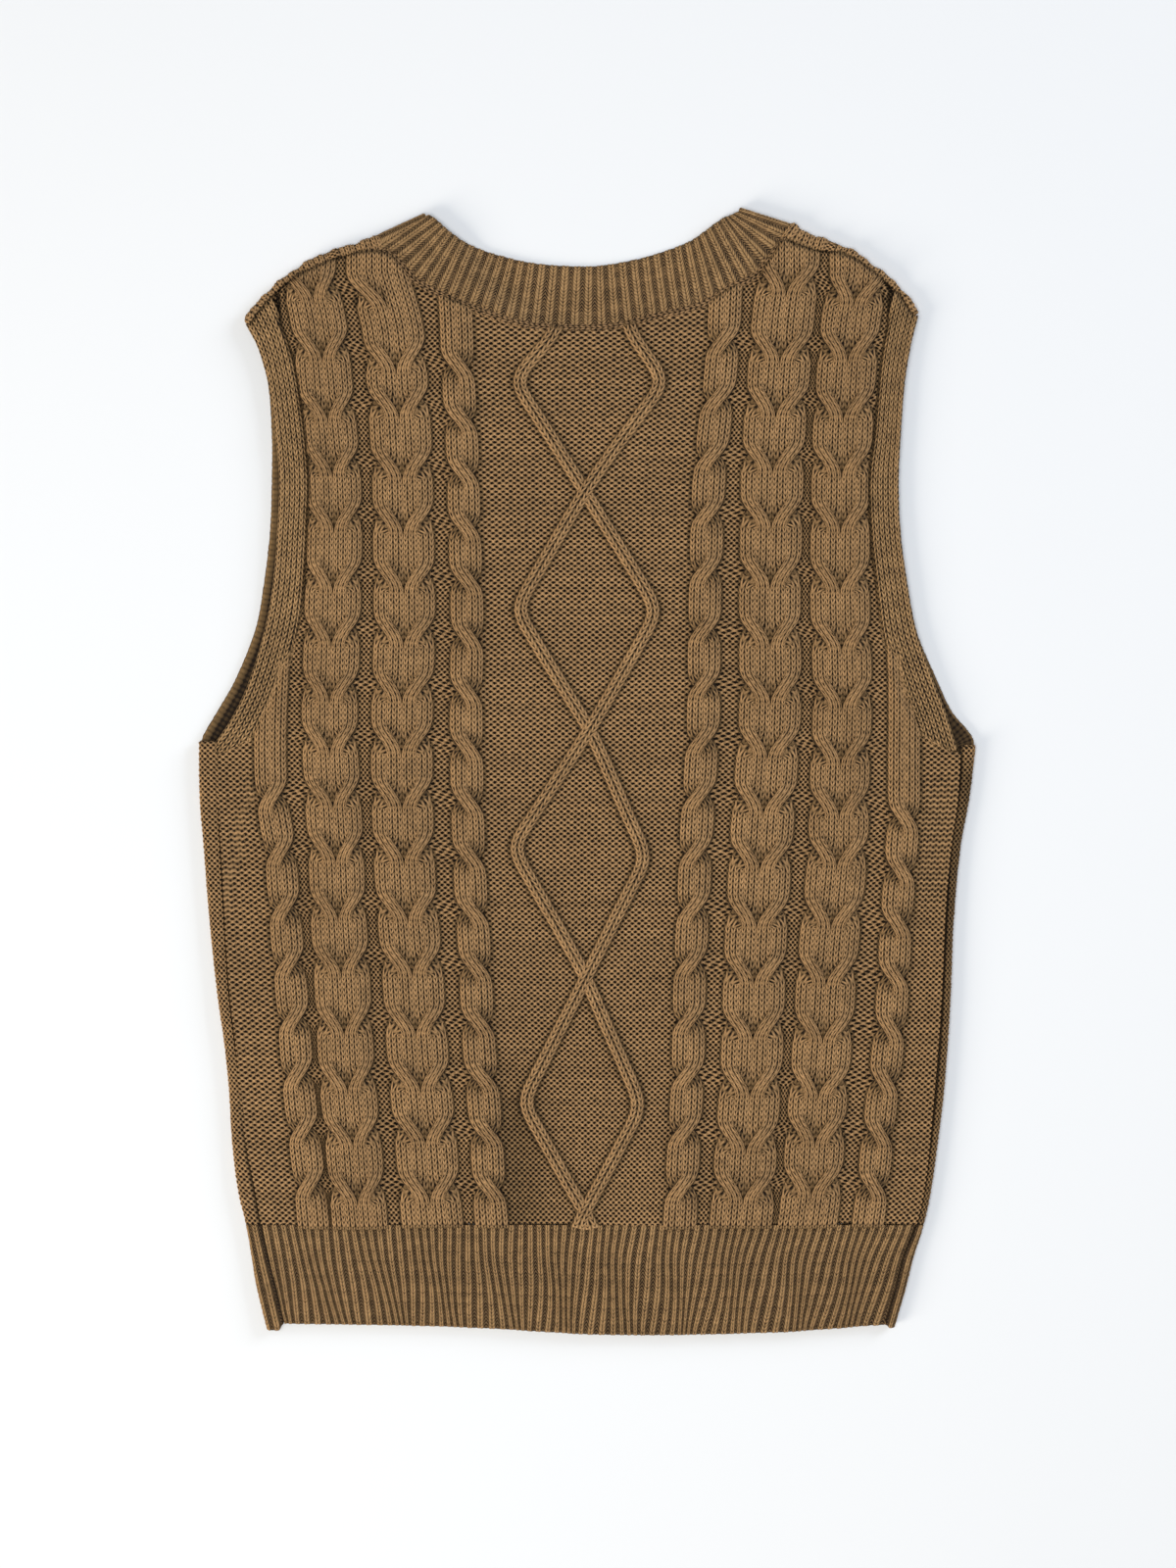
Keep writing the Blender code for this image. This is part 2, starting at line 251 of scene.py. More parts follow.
def unevenness(x, y):
    # slow waves, 13 to 43 cm long, and the creases
    height = 0.3 * np.sin(x / 47 + 1.3) * np.sin(y / 68 + 0.4) + 0.15 * np.sin(x / 21 - y / 35)
    for x0, y0, x1, y1, width, rise in zip(*creases.values()):
        runX, runY = x1 - x0, y1 - y0
        along = ((x - x0) * runX + (y - y0) * runY) / (runX ** 2 + runY ** 2)
        held = np.clip(along, 0, 1)
        away = np.hypot(x - x0 - held * runX, y - y0 - held * runY)
        height = height + rise * np.exp(-(away / width) ** 2)
    return height


def upperLevel(x, y):
    step = cloth["layerStep"] * (1 - sunk(x, y))
    return cloth["lowerTop"] + step + unevenness(x, y)


def shoulderSpot(rows, x, inward):
    # a point a given distance inside a shoulder's fold, and the way outwards there
    low = np.maximum(x - 3, rows["x"].min())
    high = np.minimum(x + 3, rows["x"].max())
    drop = read(rows, "x", "fold", low) - read(rows, "x", "fold", high)
    outward = unit(spot(drop, high - low, 0 * x))
    return spot(x, read(rows, "x", "fold", x), 0 * x) - outward * inward[..., None], outward


def topLine():
    # the back panel's upper edge: shoulder seam, neck seam, shoulder seam
    runs = []
    for rows in (leftShoulder, rightShoulder):
        x = np.linspace(rows["x"].min(), rows["x"].max(), 14)
        points, _ = shoulderSpot(rows, x, read(rows, "x", "seam", x))
        runs.append(points[:, :2])
    neck = np.stack((neckBack["seamX"], neckBack["seamY"]), -1)[1:-1]
    line = np.concatenate((runs[0][:-1], neck, runs[1][1:]))
    return line[np.argsort(line[:, 0], kind="stable")]


backTop = topLine()


def topMargin(x, y):
    # how far a point lies below the back panel's upper edge, negative beyond it
    margin = np.full(x.shape, 60.0)
    near = y > 185
    px, py = x[near], y[near]
    best = np.full(px.shape, 1e9)
    for start, end in zip(backTop, backTop[1:]):
        run = end - start
        t = np.clip(((px - start[0]) * run[0] + (py - start[1]) * run[1]) / (run @ run), 0, 1)
        best = np.minimum(best, np.hypot(px - start[0] - t * run[0], py - start[1] - t * run[1]))
    below = py < np.interp(px, backTop[:, 0], backTop[:, 1])
    margin[near] = np.where(below, best, -best)
    return margin


def inStrip(x, y):
    # how far a point lies in an armhole strip's territory, negative outside it
    left = read(stripInner, "y", "left", y) - x
    right = x - read(stripInner, "y", "right", y)
    return np.where(y > 8, np.maximum(left, right), -50.0)


def backEdge(hand, y):
    # the back panel's outer edge: the side seam below the underarm, the armhole above it
    seam = read(sides, "y", hand + "Seam", y)
    return np.where(y < cloth["underarm"], seam, read(armholes, "y", "back" + hand.title(), y))


# How each kind of stitch is shaped. "at" places its columns across one stitch or rib, "lift" shifts
# their rows along the wale, in courses, "groove" and "crest" are the heights between and on the
# courses as a share of the relief, where the lower ones also get painted shade, "line" counts the
# painted dark lines across it, and "gap" and "thin" are how dark the painted shade is in the holes
# and the lines between its yarns
kinds = {
    "knit": {"at": (0, 0.25, 0.5, 0.75), "lift": (0.6, 0, -0.6, 0), "relief": 0.75,
             "groove": (0.12, 0.85, 0.48, 0.85), "crest": (0.52, 1, 0.84, 1), "line": (0, 0.5, 1, 1.5),
             "gap": 0.5, "thin": (0.5, 0.11, 0.22, 0.11)},
    "edgeKnit": {"at": (0, 0.25, 0.5, 0.75), "lift": (0.5, 0, -0.5, 0), "relief": 0.8,
                 "groove": (0.2, 0.7, 0.4, 0.7), "crest": (0.5, 1, 0.75, 1), "line": (0, 0.5, 1, 1.5),
                 "gap": 0.4, "thin": (1.0, 0.22, 0.4, 0.22)},
    "purl": {"at": (0, 0.25, 0.5, 0.75), "lift": (-0.25, 0, 0.25, 0), "relief": 1.05,
             "groove": (-0.6, 0.65, -0.6, 0.65), "crest": (1, 0.65, 1, 0.65),
             "line": (0, 0.25, 0.5, 0.75), "gap": 5.0, "thin": 0},
    # purl stretched open between two cables
    "openPurl": {"at": (0, 0.25, 0.5, 0.75), "lift": (-0.25, 0, 0.25, 0), "relief": 1.2,
                 "groove": (-0.6, 0.6, -0.6, 0.6), "crest": (1, 0.6, 1, 0.6),
                 "line": (0, 0.25, 0.5, 0.75), "gap": 7.0, "thin": 0},
    "rib": {"at": (0, 0.08, 0.23, 0.29, 0.35, 0.5, 0.58, 0.79), "relief": 1.2,
            "lift": (0.25, 0, -0.15, -0.3, -0.15, 0, 0.25, 0),
            "line": (0, 0.25, 0.55, 0.7, 0.55, 0.25, 0, -0.6),
            "groove": (0.4, 0.85, 0.85, 0.4, 0.85, 0.85, 0.4, 0.5),
            "crest": (0.45, 0.95, 0.95, 0.4, 0.95, 0.95, 0.45, 0.55), "gap": 0,
            "thin": (0.5, 0.3, 0.3, 0.5, 0.3, 0.3, 0.5, 1.1)},
    "bandRib": {"at": (0, 0.08, 0.24, 0.31, 0.38, 0.54, 0.62, 0.81), "relief": 1.1,
                "lift": (0.25, 0, -0.15, -0.3, -0.15, 0, 0.25, 0),
                "line": (0, 0.25, 0.55, 0.7, 0.55, 0.25, 0, -0.6),
                "groove": (0.55, 0.9, 0.9, 0.5, 0.9, 0.9, 0.55, 0.6),
                "crest": (0.55, 0.95, 0.95, 0.5, 0.95, 0.95, 0.55, 0.65), "gap": 0,
                "thin": (0.5, 0.35, 0.35, 0.5, 0.35, 0.35, 0.5, 1.0)},
    "link": {"at": (0, 0.25, 0.5, 0.75), "lift": (0.3, 0, -0.3, 0), "relief": 1.1,
             "groove": (0.1, 0.5, 0.2, 0.5), "crest": (0.5, 1, 0.7, 1), "line": (0, 0.5, 1, 1.5),
             "gap": 1.2, "thin": 0.15},
    # the inside of a front edge, pressed smooth
    "inside": {"at": (0, 0.5), "lift": (0, 0), "relief": 0.25, "groove": (0.6, 0.7), "crest": (0.7, 0.8),
               "line": (0, 0.5), "gap": 0.1, "thin": 0.05},
    # coarser ones for what lies underneath
    "plainKnit": {"at": (0, 0.5), "lift": (0.3, -0.3), "relief": 0.5, "groove": (0.1, 0.6),
                  "crest": (0.4, 1), "line": (0, 0.5), "gap": 0.25, "thin": 0.13},
    "plainPurl": {"at": (0, 0.5), "lift": (-0.25, 0.25), "relief": 0.7, "groove": (0, 0),
                  "crest": (1, 1), "line": (0, 0.5), "gap": 0.6, "thin": 0},
}


def stitchColumns(*plan, before=(), after=()):
    # a row of stitches as columns of points. before and after are hidden ground at its two ends, as
    # (distance in stitches past the end, depth) pairs
    columns = []
    start = 0
    lines = 0
    for kind, count in plan:
        shape = kinds[kind]
        thin = np.broadcast_to(shape["thin"], len(shape["at"]))
        across = list(zip(shape["at"], shape["lift"], shape["groove"], shape["crest"], shape["line"], thin))
        slant = {"purl": 1, "openPurl": 1, "plainPurl": 1, "rib": 2, "bandRib": 2}.get(kind, 0)
        more = [shape["relief"], 0, slant, shape["gap"]]
        for n in range(count):
            columns += [[start + n + at, lift, groove, crest, lines + line] + more + [thin]
                        for at, lift, groove, crest, line, thin in across]
            lines += 0 if slant == 2 else round(shape["line"][-1] + 0.51)
        start += count
    columns.append([start, *across[0][1:4], lines] + more + [across[0][5]])
    hidden = [(-past, depth) for past, depth in before] + [(start + past, depth) for past, depth in after]
    columns += [[at, 0, 0.25, 0.25, 0.5, 0.6, depth, 0, 0, 0] for at, depth in hidden]
    values = np.array(sorted(columns, key=lambda column: column[0]))
    names = ("u", "lift", "groove", "crest", "line", "relief", "drop", "slant", "gap", "thin")
    return dict(zip(names, values.T))


# What a stitch keeps of its lift where it is drawn out smooth, and its heights there
calmStitch = {"lift": 0.3, "groove": 0.3, "crest": 0.85}
lineJitter = 0.05              # how far the dark lines stray, as a share of a stitch


def knitPatch(columns, first, last, place, perCourse=3, flip=False, jitter=0.07, calm=None, slant=None):
    # a grid of points that follows the stitches. place(u, v) gives the point, the way out of the
    # cloth and how much shade is painted on it, where u counts wales and v courses. Points it leaves out are
    # nan.
    # calm(x, y) tells where the stitches are drawn out smooth, slant(v) how steep their legs are
    rows = np.arange(round(first * perCourse), round(last * perCourse) + 1)
    crestRow = (rows % perCourse > 0)[:, None]
    v = rows / perCourse
    settle = np.minimum(1, np.minimum(v - v[0], v[-1] - v))[:, None]
    u = np.broadcast_to(columns["u"], (len(v), len(columns["u"])))
    v = v[:, None] + 0 * u
    wild = np.ones(u.shape)
    if calm is not None:
        level = place(u, v)[0]
        wild = 1 - calm(level[..., 0], level[..., 1])
    steep = 1 if slant is None else slant(v)
    v = v + columns["lift"] * settle * steep * (calmStitch["lift"] + (1 - calmStitch["lift"]) * wild)
    point, out, shade = place(u, v)
    share = np.where(crestRow, columns["crest"], columns["groove"])
    share = wild * share + (1 - wild) * np.where(crestRow, calmStitch["crest"], calmStitch["groove"])
    height = (share - 1) * columns["relief"] - columns["drop"]
    point = point + out * height[..., None] + chance.normal(0, jitter, point.shape)
    # the painted dark lines of shade lie at whole numbers of a and b: along wales and courses on the knit
    # side, slanting both ways on the purl side, so that the painted dark holes where they cross are
    # staggered, and only one way in a rib, as a fine herringbone
    course = np.broadcast_to(rows[:, None] / perCourse, u.shape)
    a = np.where(columns["slant"] > 0, columns["line"] + v + 0.25, columns["line"] + 0 * v)
    b = np.where(columns["slant"] == 1, columns["line"] - v - 0.25, course)
    a = np.where(columns["slant"] == 2, 0.5, a)
    b = np.where(columns["slant"] == 2, 1.5 * (columns["line"] + v), b)
    a, b = a + chance.normal(0, lineJitter, a.shape), b + chance.normal(0, lineJitter, a.shape)
    stitch = np.floor(v - v.min()).astype(int), np.floor(2 * (u - u.min())).astype(int)
    tones = 0.5 * chance.random((stitch[0].max() + 1, stitch[1].max() + 1))
    tones += 0.5 * chance.random((stitch[0].max() + 1, 1))
    wild = wild * (0.5 + chance.random(tones.shape)[stitch])
    kept = np.isfinite(point).all(-1)
    corner = np.arange(u.size).reshape(u.shape)
    faces = np.stack((corner[:-1, :-1], corner[:-1, 1:], corner[1:, 1:], corner[1:, :-1]), -1)
    whole = kept[:-1, :-1] & kept[:-1, 1:] & kept[1:, 1:] & kept[1:, :-1]
    acrossStep = np.nanmean(np.linalg.norm(np.diff(point, axis=1), axis=-1), axis=0)
    alongStep = np.nanmean(np.linalg.norm(np.diff(point, axis=0), axis=-1), axis=1)
    across = np.concatenate(([0], np.cumsum(np.nan_to_num(acrossStep))))
    along = np.concatenate(([0], np.cumsum(np.nan_to_num(alongStep))))
    return {
        "points": point.reshape(-1, 3),
        # painted shade: the colour darkens from the crests into the grooves, and more where place gives shade
        "depth": np.clip(1 - share + shade, 0, 1.3).ravel(),
        "tone": tones[stitch].ravel(),
        "gap": (columns["gap"] * wild).ravel(),
        "thin": (columns["thin"] * wild).ravel(),
        "lines": np.stack((a, b), -1).reshape(-1, 2),
        "faces": faces[whole][:, ::-1] if flip else faces[whole],
        "flat": spot(across[None, :], along[:, None]).reshape(-1, 2),
        "size": (across[-1], along[-1]),
    }


def unwrap(patches):
    # every patch laid out flat beside the last one, folded into pieces of even length
    gap = 1.2
    side = 60.0
    while True:
        folds = [int(np.ceil(patch["size"][1] / (side - 2 * gap))) for patch in patches]
        if sum(n * (patch["size"][0] + 2 * gap) for n, patch in zip(folds, patches)) < side:
            break
        side *= 1.02
    start = 0.0
    corners = []
    for n, patch in zip(folds, patches):
        width, length = patch["size"]
        height = length / n
        low = patch["flat"][patch["faces"].min(1), 1]
        fold = np.minimum(np.floor((low + 1e-6) / height), n - 1)
        flat = patch["flat"][patch["faces"]].copy()
        flat[..., 0] += start + gap + (fold * (width + 2 * gap))[:, None]
        flat[..., 1] += gap - (fold * height)[:, None]
        corners.append(flat.reshape(-1, 2) / (side + 2 * gap))
        start += n * (width + 2 * gap)
    return np.concatenate(corners)


def makePiece(name, patches, material):
    starts = np.cumsum([0] + [len(patch["points"]) for patch in patches])
    joined = {key: np.concatenate([patch[key] for patch in patches])
              for key in ("points", "lines", "depth", "tone", "gap", "thin")}
    faces = np.concatenate([patch["faces"] + start for patch, start in zip(patches, starts)])
    baked = unwrap(patches)
    used, faces = np.unique(faces, return_inverse=True)
    faces = faces.reshape(-1, 4)
    mesh = bpy.data.meshes.new(name)
    mesh.vertices.add(len(used))
    points = joined["points"][used]
    points[:, 2] = np.maximum(points[:, 2], 0.05)      # nothing reaches below the surface it lies on
    mesh.vertices.foreach_set("co", (points * mm).astype(np.float32).ravel())
    mesh.loops.add(faces.size)
    mesh.loops.foreach_set("vertex_index", faces.ravel().astype(np.int32))
    mesh.polygons.add(len(faces))
    mesh.polygons.foreach_set("loop_start", np.arange(0, faces.size, 4, dtype=np.int32))
    mesh.polygons.foreach_set("use_smooth", np.ones(len(faces), bool))
    for key in ("depth", "tone", "gap", "thin"):
        layer = mesh.attributes.new(key, "FLOAT", "POINT")
        layer.data.foreach_set("value", joined[key][used].astype(np.float32))
    for key, values in (("OFBake", baked), ("lines", joined["lines"][used][faces].reshape(-1, 2))):
        layer = mesh.uv_layers.new(name=key)
        layer.uv.foreach_set("vector", values.astype(np.float32).ravel())
    mesh.update(calc_edges=True)
    mesh.materials.append(material)
    piece = bpy.data.objects.new(name, mesh)
    bpy.context.scene.collection.objects.link(piece)
    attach(piece, "root")
    print(f"made {name}: {2 * len(faces)} triangles")
    return piece


def aroundRim(line, out, past, radius, reach):
    # a surface that faces out, turns round an edge and comes back beneath. line is the middle of the
    # wall one radius inside the edge, past the way over the edge, reach the way gone past the line
    turn = np.clip(reach / radius, 0, np.pi)[..., None]
    back = np.where(reach < 0, reach, np.minimum(np.pi * radius - reach, 0))[..., None]
    facing = out * np.cos(turn) + past * np.sin(turn)
    return line + past * back + facing * np.asarray(radius)[..., None], facing


def linear(hexColour):
    # an sRGB hex colour as linear red, green, blue, alpha
    channels = [int(hexColour[i:i + 2], 16) / 255 for i in (1, 3, 5)]
    return [c / 12.92 if c <= 0.04045 else ((c + 0.055) / 1.055) ** 2.4 for c in channels] + [1.0]


def addNode(tree, kind, inputs=None, **settings):
    made = tree.nodes.new(kind)
    for name, value in settings.items():
        setattr(made, name, value)
    for name, value in (inputs or {}).items():
        if isinstance(value, bpy.types.NodeSocket):
            tree.links.new(value, made.inputs[name])
        else:
            made.inputs[name].default_value = value
    return made


def mathNode(tree, operation, *values):
    return addNode(tree, "ShaderNodeMath", dict(enumerate(values)), operation=operation).outputs[0]


def shadeNode(tree, value, strength, low, high):
    # a factor about 1 that grows with the value, from its low end to its high one
    return addNode(tree, "ShaderNodeMapRange",
                   {"Value": value, "From Min": low, "From Max": high,
                    "To Min": 1 - strength, "To Max": 1 + strength}).outputs[0]


yarn = {
    "roughness": 0.88,
    "sheen": 0.07,
    "sheenColour": "#c79f6c",
    "stitchRange": 0.19,       # how much lighter or darker one stitch may be than the next
    "dyePerMetre": 16.0,       # dye and handling leave slow changes over 5 to 8 cm
    "dyeRange": 0.06,
    "tuftsPerMetre": 1900.0,   # the fibres are 0.02 mm, and are drawn as tufts of 0.5 mm so that they show
    "tuftRange": 0.16,
}


def woolKnit(name, crest, middle, paintedHollowShade):
    # Worsted wool yarn in camel brown, machine knitted and steamed. The eye sees matt, slightly hairy
    # stitches with a soft haze at their edges, and near black gaps between them, which are painted shade
    material = bpy.data.materials.new(name)
    material.use_nodes = True
    tree = material.node_tree
    shader = tree.nodes["Principled BSDF"]
    shader.inputs["Roughness"].default_value = yarn["roughness"]
    shader.inputs["IOR"].default_value = 1.5       # keratin is 1.54, loose fibres look a little duller
    shader.inputs["Specular IOR Level"].default_value = 0.2
    shader.inputs["Sheen Weight"].default_value = yarn["sheen"]
    shader.inputs["Sheen Roughness"].default_value = 0.45
    shader.inputs["Sheen Tint"].default_value = linear(yarn["sheenColour"])
    # painted shade: thin dark lines between the yarns, and small dark holes where they cross
    grid = addNode(tree, "ShaderNodeUVMap", uv_map="lines").outputs["UV"]
    turns = addNode(tree, "ShaderNodeVectorMath", {0: grid, "Scale": 2 * np.pi}, operation="SCALE")
    waves = addNode(tree, "ShaderNodeVectorMath", {0: turns.outputs[0]}, operation="COSINE")
    split = addNode(tree, "ShaderNodeSeparateXYZ", {0: waves.outputs[0]})
    shown = (-0.5, -0.35)      # where on its wave a line begins to show, so the first is broader
    lineA, lineB = (addNode(tree, "ShaderNodeMapRange", {"Value": wave, "From Min": low}).outputs[0]
                    for wave, low in zip(split.outputs, shown))
    hole = mathNode(tree, "MULTIPLY", lineA, lineB)
    gap, thin, depth, tone = (addNode(tree, "ShaderNodeAttribute", attribute_name=key).outputs["Fac"]
                              for key in ("gap", "thin", "depth", "tone"))
    gaps = mathNode(tree, "MULTIPLY", hole, gap)
    lines = mathNode(tree, "MULTIPLY_ADD", lineA, 0.5, lineB)
    paintedShade = mathNode(tree, "MULTIPLY_ADD", lines, thin, gaps)
    # painted shade: the colour runs from the crest's through the middle to the hollow's near black as depth
    # and the painted lines grow
    ramp = addNode(tree, "ShaderNodeValToRGB", {"Fac": mathNode(tree, "ADD", depth, paintedShade)})
    stops = ramp.color_ramp.elements
    stops[0].position, stops[0].color = 0.0, linear(crest)
    stops[1].position, stops[1].color = 1.0, linear(paintedHollowShade)
    half = stops.new(0.45)
    half.color = linear(middle)
    place = addNode(tree, "ShaderNodeTexCoord").outputs["Object"]
    stitchShade = shadeNode(tree, tone, yarn["stitchRange"], 0.0, 1.0)
    dye = addNode(tree, "ShaderNodeTexNoise", {"Vector": place, "Scale": yarn["dyePerMetre"], "Detail": 2.0})
    dyeShade = shadeNode(tree, dye.outputs["Fac"], yarn["dyeRange"], 0.3, 0.7)
    fibre = addNode(tree, "ShaderNodeTexNoise",
                    {"Vector": place, "Scale": yarn["tuftsPerMetre"], "Detail": 3.0})
    fibreShade = shadeNode(tree, fibre.outputs["Fac"], yarn["tuftRange"], 0.3, 0.7)
    shade = mathNode(tree, "MULTIPLY", mathNode(tree, "MULTIPLY", stitchShade, dyeShade), fibreShade)
    colour = addNode(tree, "ShaderNodeVectorMath", {0: ramp.outputs["Color"], "Scale": shade},
                     operation="SCALE")
    relief = mathNode(tree, "MULTIPLY_ADD", paintedShade, -2.5, fibre.outputs["Fac"])
    bump = addNode(tree, "ShaderNodeBump", {"Height": relief, "Strength": 0.5, "Distance": 0.0004})
    tree.links.new(colour.outputs[0], shader.inputs["Base Color"])
    tree.links.new(bump.outputs["Normal"], shader.inputs["Normal"])
    return material


# one yarn in crest, middle and hollow colours; the near black hollow colour is painted shade for the gaps and
# grooves, and the four are a little lighter or darker from part to part
panelKnit = woolKnit("worstedWoolPurlAndCable", "#af895e", "#6e5637", "#1a1108")
ribKnit = woolKnit("worstedWoolRib", "#ab885c", "#6c5437", "#1a1108")
edgeKnit = woolKnit("worstedWoolPlainEdge", "#b18c60", "#705838", "#1a1108")
seamKnit = woolKnit("worstedWoolLinking", "#a3805a", "#6a5235", "#1c1207")
print("materials made")


def wander(x, y):
    # the stitches of worn knitting never lie quite straight
    moveX = 0.5 * np.sin(y / 37 + x / 90) + 0.25 * np.sin(y / 15 - x / 55 + 1)
    moveY = 0.5 * np.sin(x / 31 + y / 83) + 0.3 * np.sin(x / 12.5 + y / 41 + 2)
    return x + moveX, y + moveY


def stripFirmness(y):
    # the armhole strips stand up from the ground, and less and less so towards the underarm
    return smooth((y - 50) / 60)


# How the back panel sinks to the neckband's and shoulders' seams, and beneath the armhole strips, and how
# much shade is painted there
backSeams = {
    "reach": 1.4,              # how near a seam it begins
    "shade": 0.4,
    "stripReach": 2.8,         # the same beside a strip, further out where the strip is firm
    "stripAhead": 1.8,
    "stripSink": 1.6,
    "stripShade": 0.6,
}


def onBack(x, y, rise, shade=0.0):
    # a point of the back panel on the upper level, drawn down at the seams and under the strips, with painted
    # shade there
    x, y = wander(x, y)
    top = topMargin(x, y)
    strip = inStrip(x, y)
    seam = 1 - smooth(top / backSeams["reach"])
    firm = stripFirmness(y)
    beside = smooth((strip + backSeams["stripAhead"] * firm) / backSeams["stripReach"])
    z = upperLevel(x, y) + rise - cloth["tuck"] * seam - (backSeams["stripSink"] + firm) * beside
    z = np.where((top > -2) & (strip < 6), z, np.nan)
    shade = shade + backSeams["shade"] * seam + backSeams["stripShade"] * beside * firm
    return spot(x, y, z), up, shade


# Middle lines of the cables
cableLines = table(
    "y outerLeft big1 big2 smallLeft smallRight big3 big4 outerRight",
    (275.4, -184.0, -154.0, -116.0, -74.5, 76.4, 111.0, 150.0, 180.0),
    (238.1, -176.0, -146.6, -106.1, -71.5, 74.3, 106.1, 143.4, 176.0),
    (145.8, -171.0, -140.1, -101.8, -67.8, 66.6, 101.8, 139.8, 173.0),
    (43.2, -174.0, -141.8, -101.8, -66.7, 63.5, 100.2, 140.1, 174.5),
    (-14.0, -173.6, -140.1, -101.8, -66.0, 61.3, 97.5, 138.5, 174.0),
    (-45.9, -169.5, -138.5, -100.7, -64.5, 59.7, 95.3, 137.4, 172.4),
    (-137.2, -162.5, -134.7, -95.3, -60.8, 55.9, 91.5, 130.4, 167.3),
    (-230.6, -152.6, -126.6, -86.7, -53.7, 51.6, 85.6, 122.9, 156.3),
    (-251.0, -150.5, -124.5, -84.5, -52.0, 50.5, 84.0, 120.5, 154.0),
)


def heights(*runs):
    # crossings from the top down, each run as (its highest or only first one, step, count)
    return sorted((first + step * k for first, step, count in runs for k in range(count)), reverse=True)


# Where the arms of the wide cables meet, from the top down
bigCrossings = table(
    "big1 big2 big3 big4",
    (268.0, 264.0, 271.0, 264.5),
    (235.0, 229.0, 234.0, 234.0),
    (201.5, 204.0, 204.0, 202.0),
    (171.5, 170.0, 173.5, 171.5),
    (141.0, 140.0, 143.0, 141.0),
    (108.0, 108.0, 110.5, 107.5),
    (78.0, 78.0, 78.0, 75.0),
    (47.0, 47.0, 47.0, 43.5),
    (18.0, 18.0, 16.5, 12.5),
    (-12.0, -12.0, -15.0, -16.0),
    (-42.0, -42.0, -46.0, -43.5),
    (-74.0, -74.0, -78.0, -77.0),
    (-104.0, -104.0, -109.0, -109.0),
    (-137.0, -137.0, -139.5, -141.0),
    (-168.0, -168.0, -170.5, -171.5),
    (-197.5, -197.0, -201.0, -197.5),
    (-229.0, -229.0, -228.5, -225.5),
)
# A pair is two strands that cross each other: its middle as a share of the cable's width, and
# which way the upper strand leans, 1 for down to the right. It lies plain above "plainAbove", and
# the cable ends at "top" or at the panel's edge
cables = {
    **{name: {"width": width, "pairs": ((-0.25, 1), (0.25, -1)), "crossings": bigCrossings[name],
              "plainAbove": (999, plain)}
       for name, width, plain in (("big1", 30.5, 999), ("big2", 33.5, 245), ("big3", 34.0, 999),
                                  ("big4", 32.5, 999))},
    "smallLeft": {"width": 18.0, "pairs": ((0, 1),),
                  "crossings": heights((106.4, 29.2, 5), (75.1, -30.46, 11))},
    "smallRight": {"width": 18.0, "pairs": ((0, -1),),
                   "crossings": heights((111.2, 31.5, 5), (78.3, -30.67, 11))},
    "outerLeft": {"width": 17.5, "pairs": ((0, -1),), "crossings": heights((-14.0, -30.4, 8)),
                  "top": 92},
    "outerRight": {"width": 17.5, "pairs": ((0, 1),), "crossings": heights((-24.8, -29.1, 8)),
                   "top": 92},
}
cableShape = {
    "rise": 2.3,               # how far the middle of a big cable stands up
    "smallRise": 1.9,
    "overSpan": 17.0,          # length over which the upper strand crosses
    # the lower strand's front edge sets off first and its rear edge last, so it fills the cable
    "frontSpan": 11.0,
    "frontAhead": 0.8,
    "rearSpan": 5.0,
    "rearBehind": 6.0,
    "smallUnderSpan": 13.0,    # in the narrow cables both cross at one height
    "smallUnderDelay": 0.8,
    "liftSpan": 12.0,
    "underReach": 9.0,
    "overLift": 2.1,
    "overNarrow": 0.3,
    "underDip": 0.9,
    "wall": 2.9,               # how far the upper strand's two sides come down, to meet the lower one
    "pinch": 0.07,             # how much a cable draws in at a crossing
    "turn": 0.7,               # how much of a strand's slant its stitches take
    "spread": 1.08,            # strands are this much wider than their share
}


# How much darker or lighter a strand is than the plain stitches: a painted shadow where it passes
# beneath, painted shade along its sides and a painted highlight between them where it passes on top,
# painted shade where the lobes of a big cable meet, and darker at the hem
cableShade = {
    "under": 0.12,             # where it passes beneath, on the cable's middle
    "underSides": 0.3,         # how much more there further out
    "overSides": 1.1,          # along the two sides where it passes on top
    "overTop": -0.18,          # and between them
    "join": 0.22,              # where the lobes of a big cable meet
    "hem": 0.4,                # at the hem
}


def crossed(where, level, span, y):
    # a strand's place after it has changed sides over a length round one height
    return where * (1 - 2 * smooth((level - y) / span + 0.5))


def strandRun(name, pair, right, y):
    # where one strand's two edges lie in its pair, from -1 at the left to 1, how high, and how near a
    # crossing
    cable = cables[name]
    shape = cableShape
    big = len(cable["pairs"]) > 1
    lean = cable["pairs"][pair][1]
    hand = 1 if right else -1
    front = rear = np.full(np.shape(y), float(hand))
    lift = np.zeros(np.shape(y))
    near = np.zeros(np.shape(y))
    for crossing in cable["crossings"]:
        if crossing > cable.get("plainAbove", (999, 999))[pair]:
            continue
        over = hand == -lean
        if over:
            span, level = shape["overSpan"], crossing
            front, rear = crossed(front, level, span, y), crossed(rear, level, span, y)
            reach = shape["liftSpan"]
        elif big:
            front = crossed(front, crossing + shape["frontAhead"], shape["frontSpan"], y)
            rear = crossed(rear, crossing - shape["rearBehind"], shape["rearSpan"], y)
            level = crossing - 1
            reach = shape["underReach"]
        else:
            span = reach = shape["smallUnderSpan"]
            level = crossing - shape["smallUnderDelay"]
            front, rear = crossed(front, level, span, y), crossed(rear, level, span, y)
        close = 0.5 + 0.5 * np.cos(np.pi * np.clip((y - level) / reach, -1, 1))
        lift = lift + close * (shape["overLift"] if over else -shape["underDip"])
        near = near + close
        hand = -hand
    return front, rear, lift, near


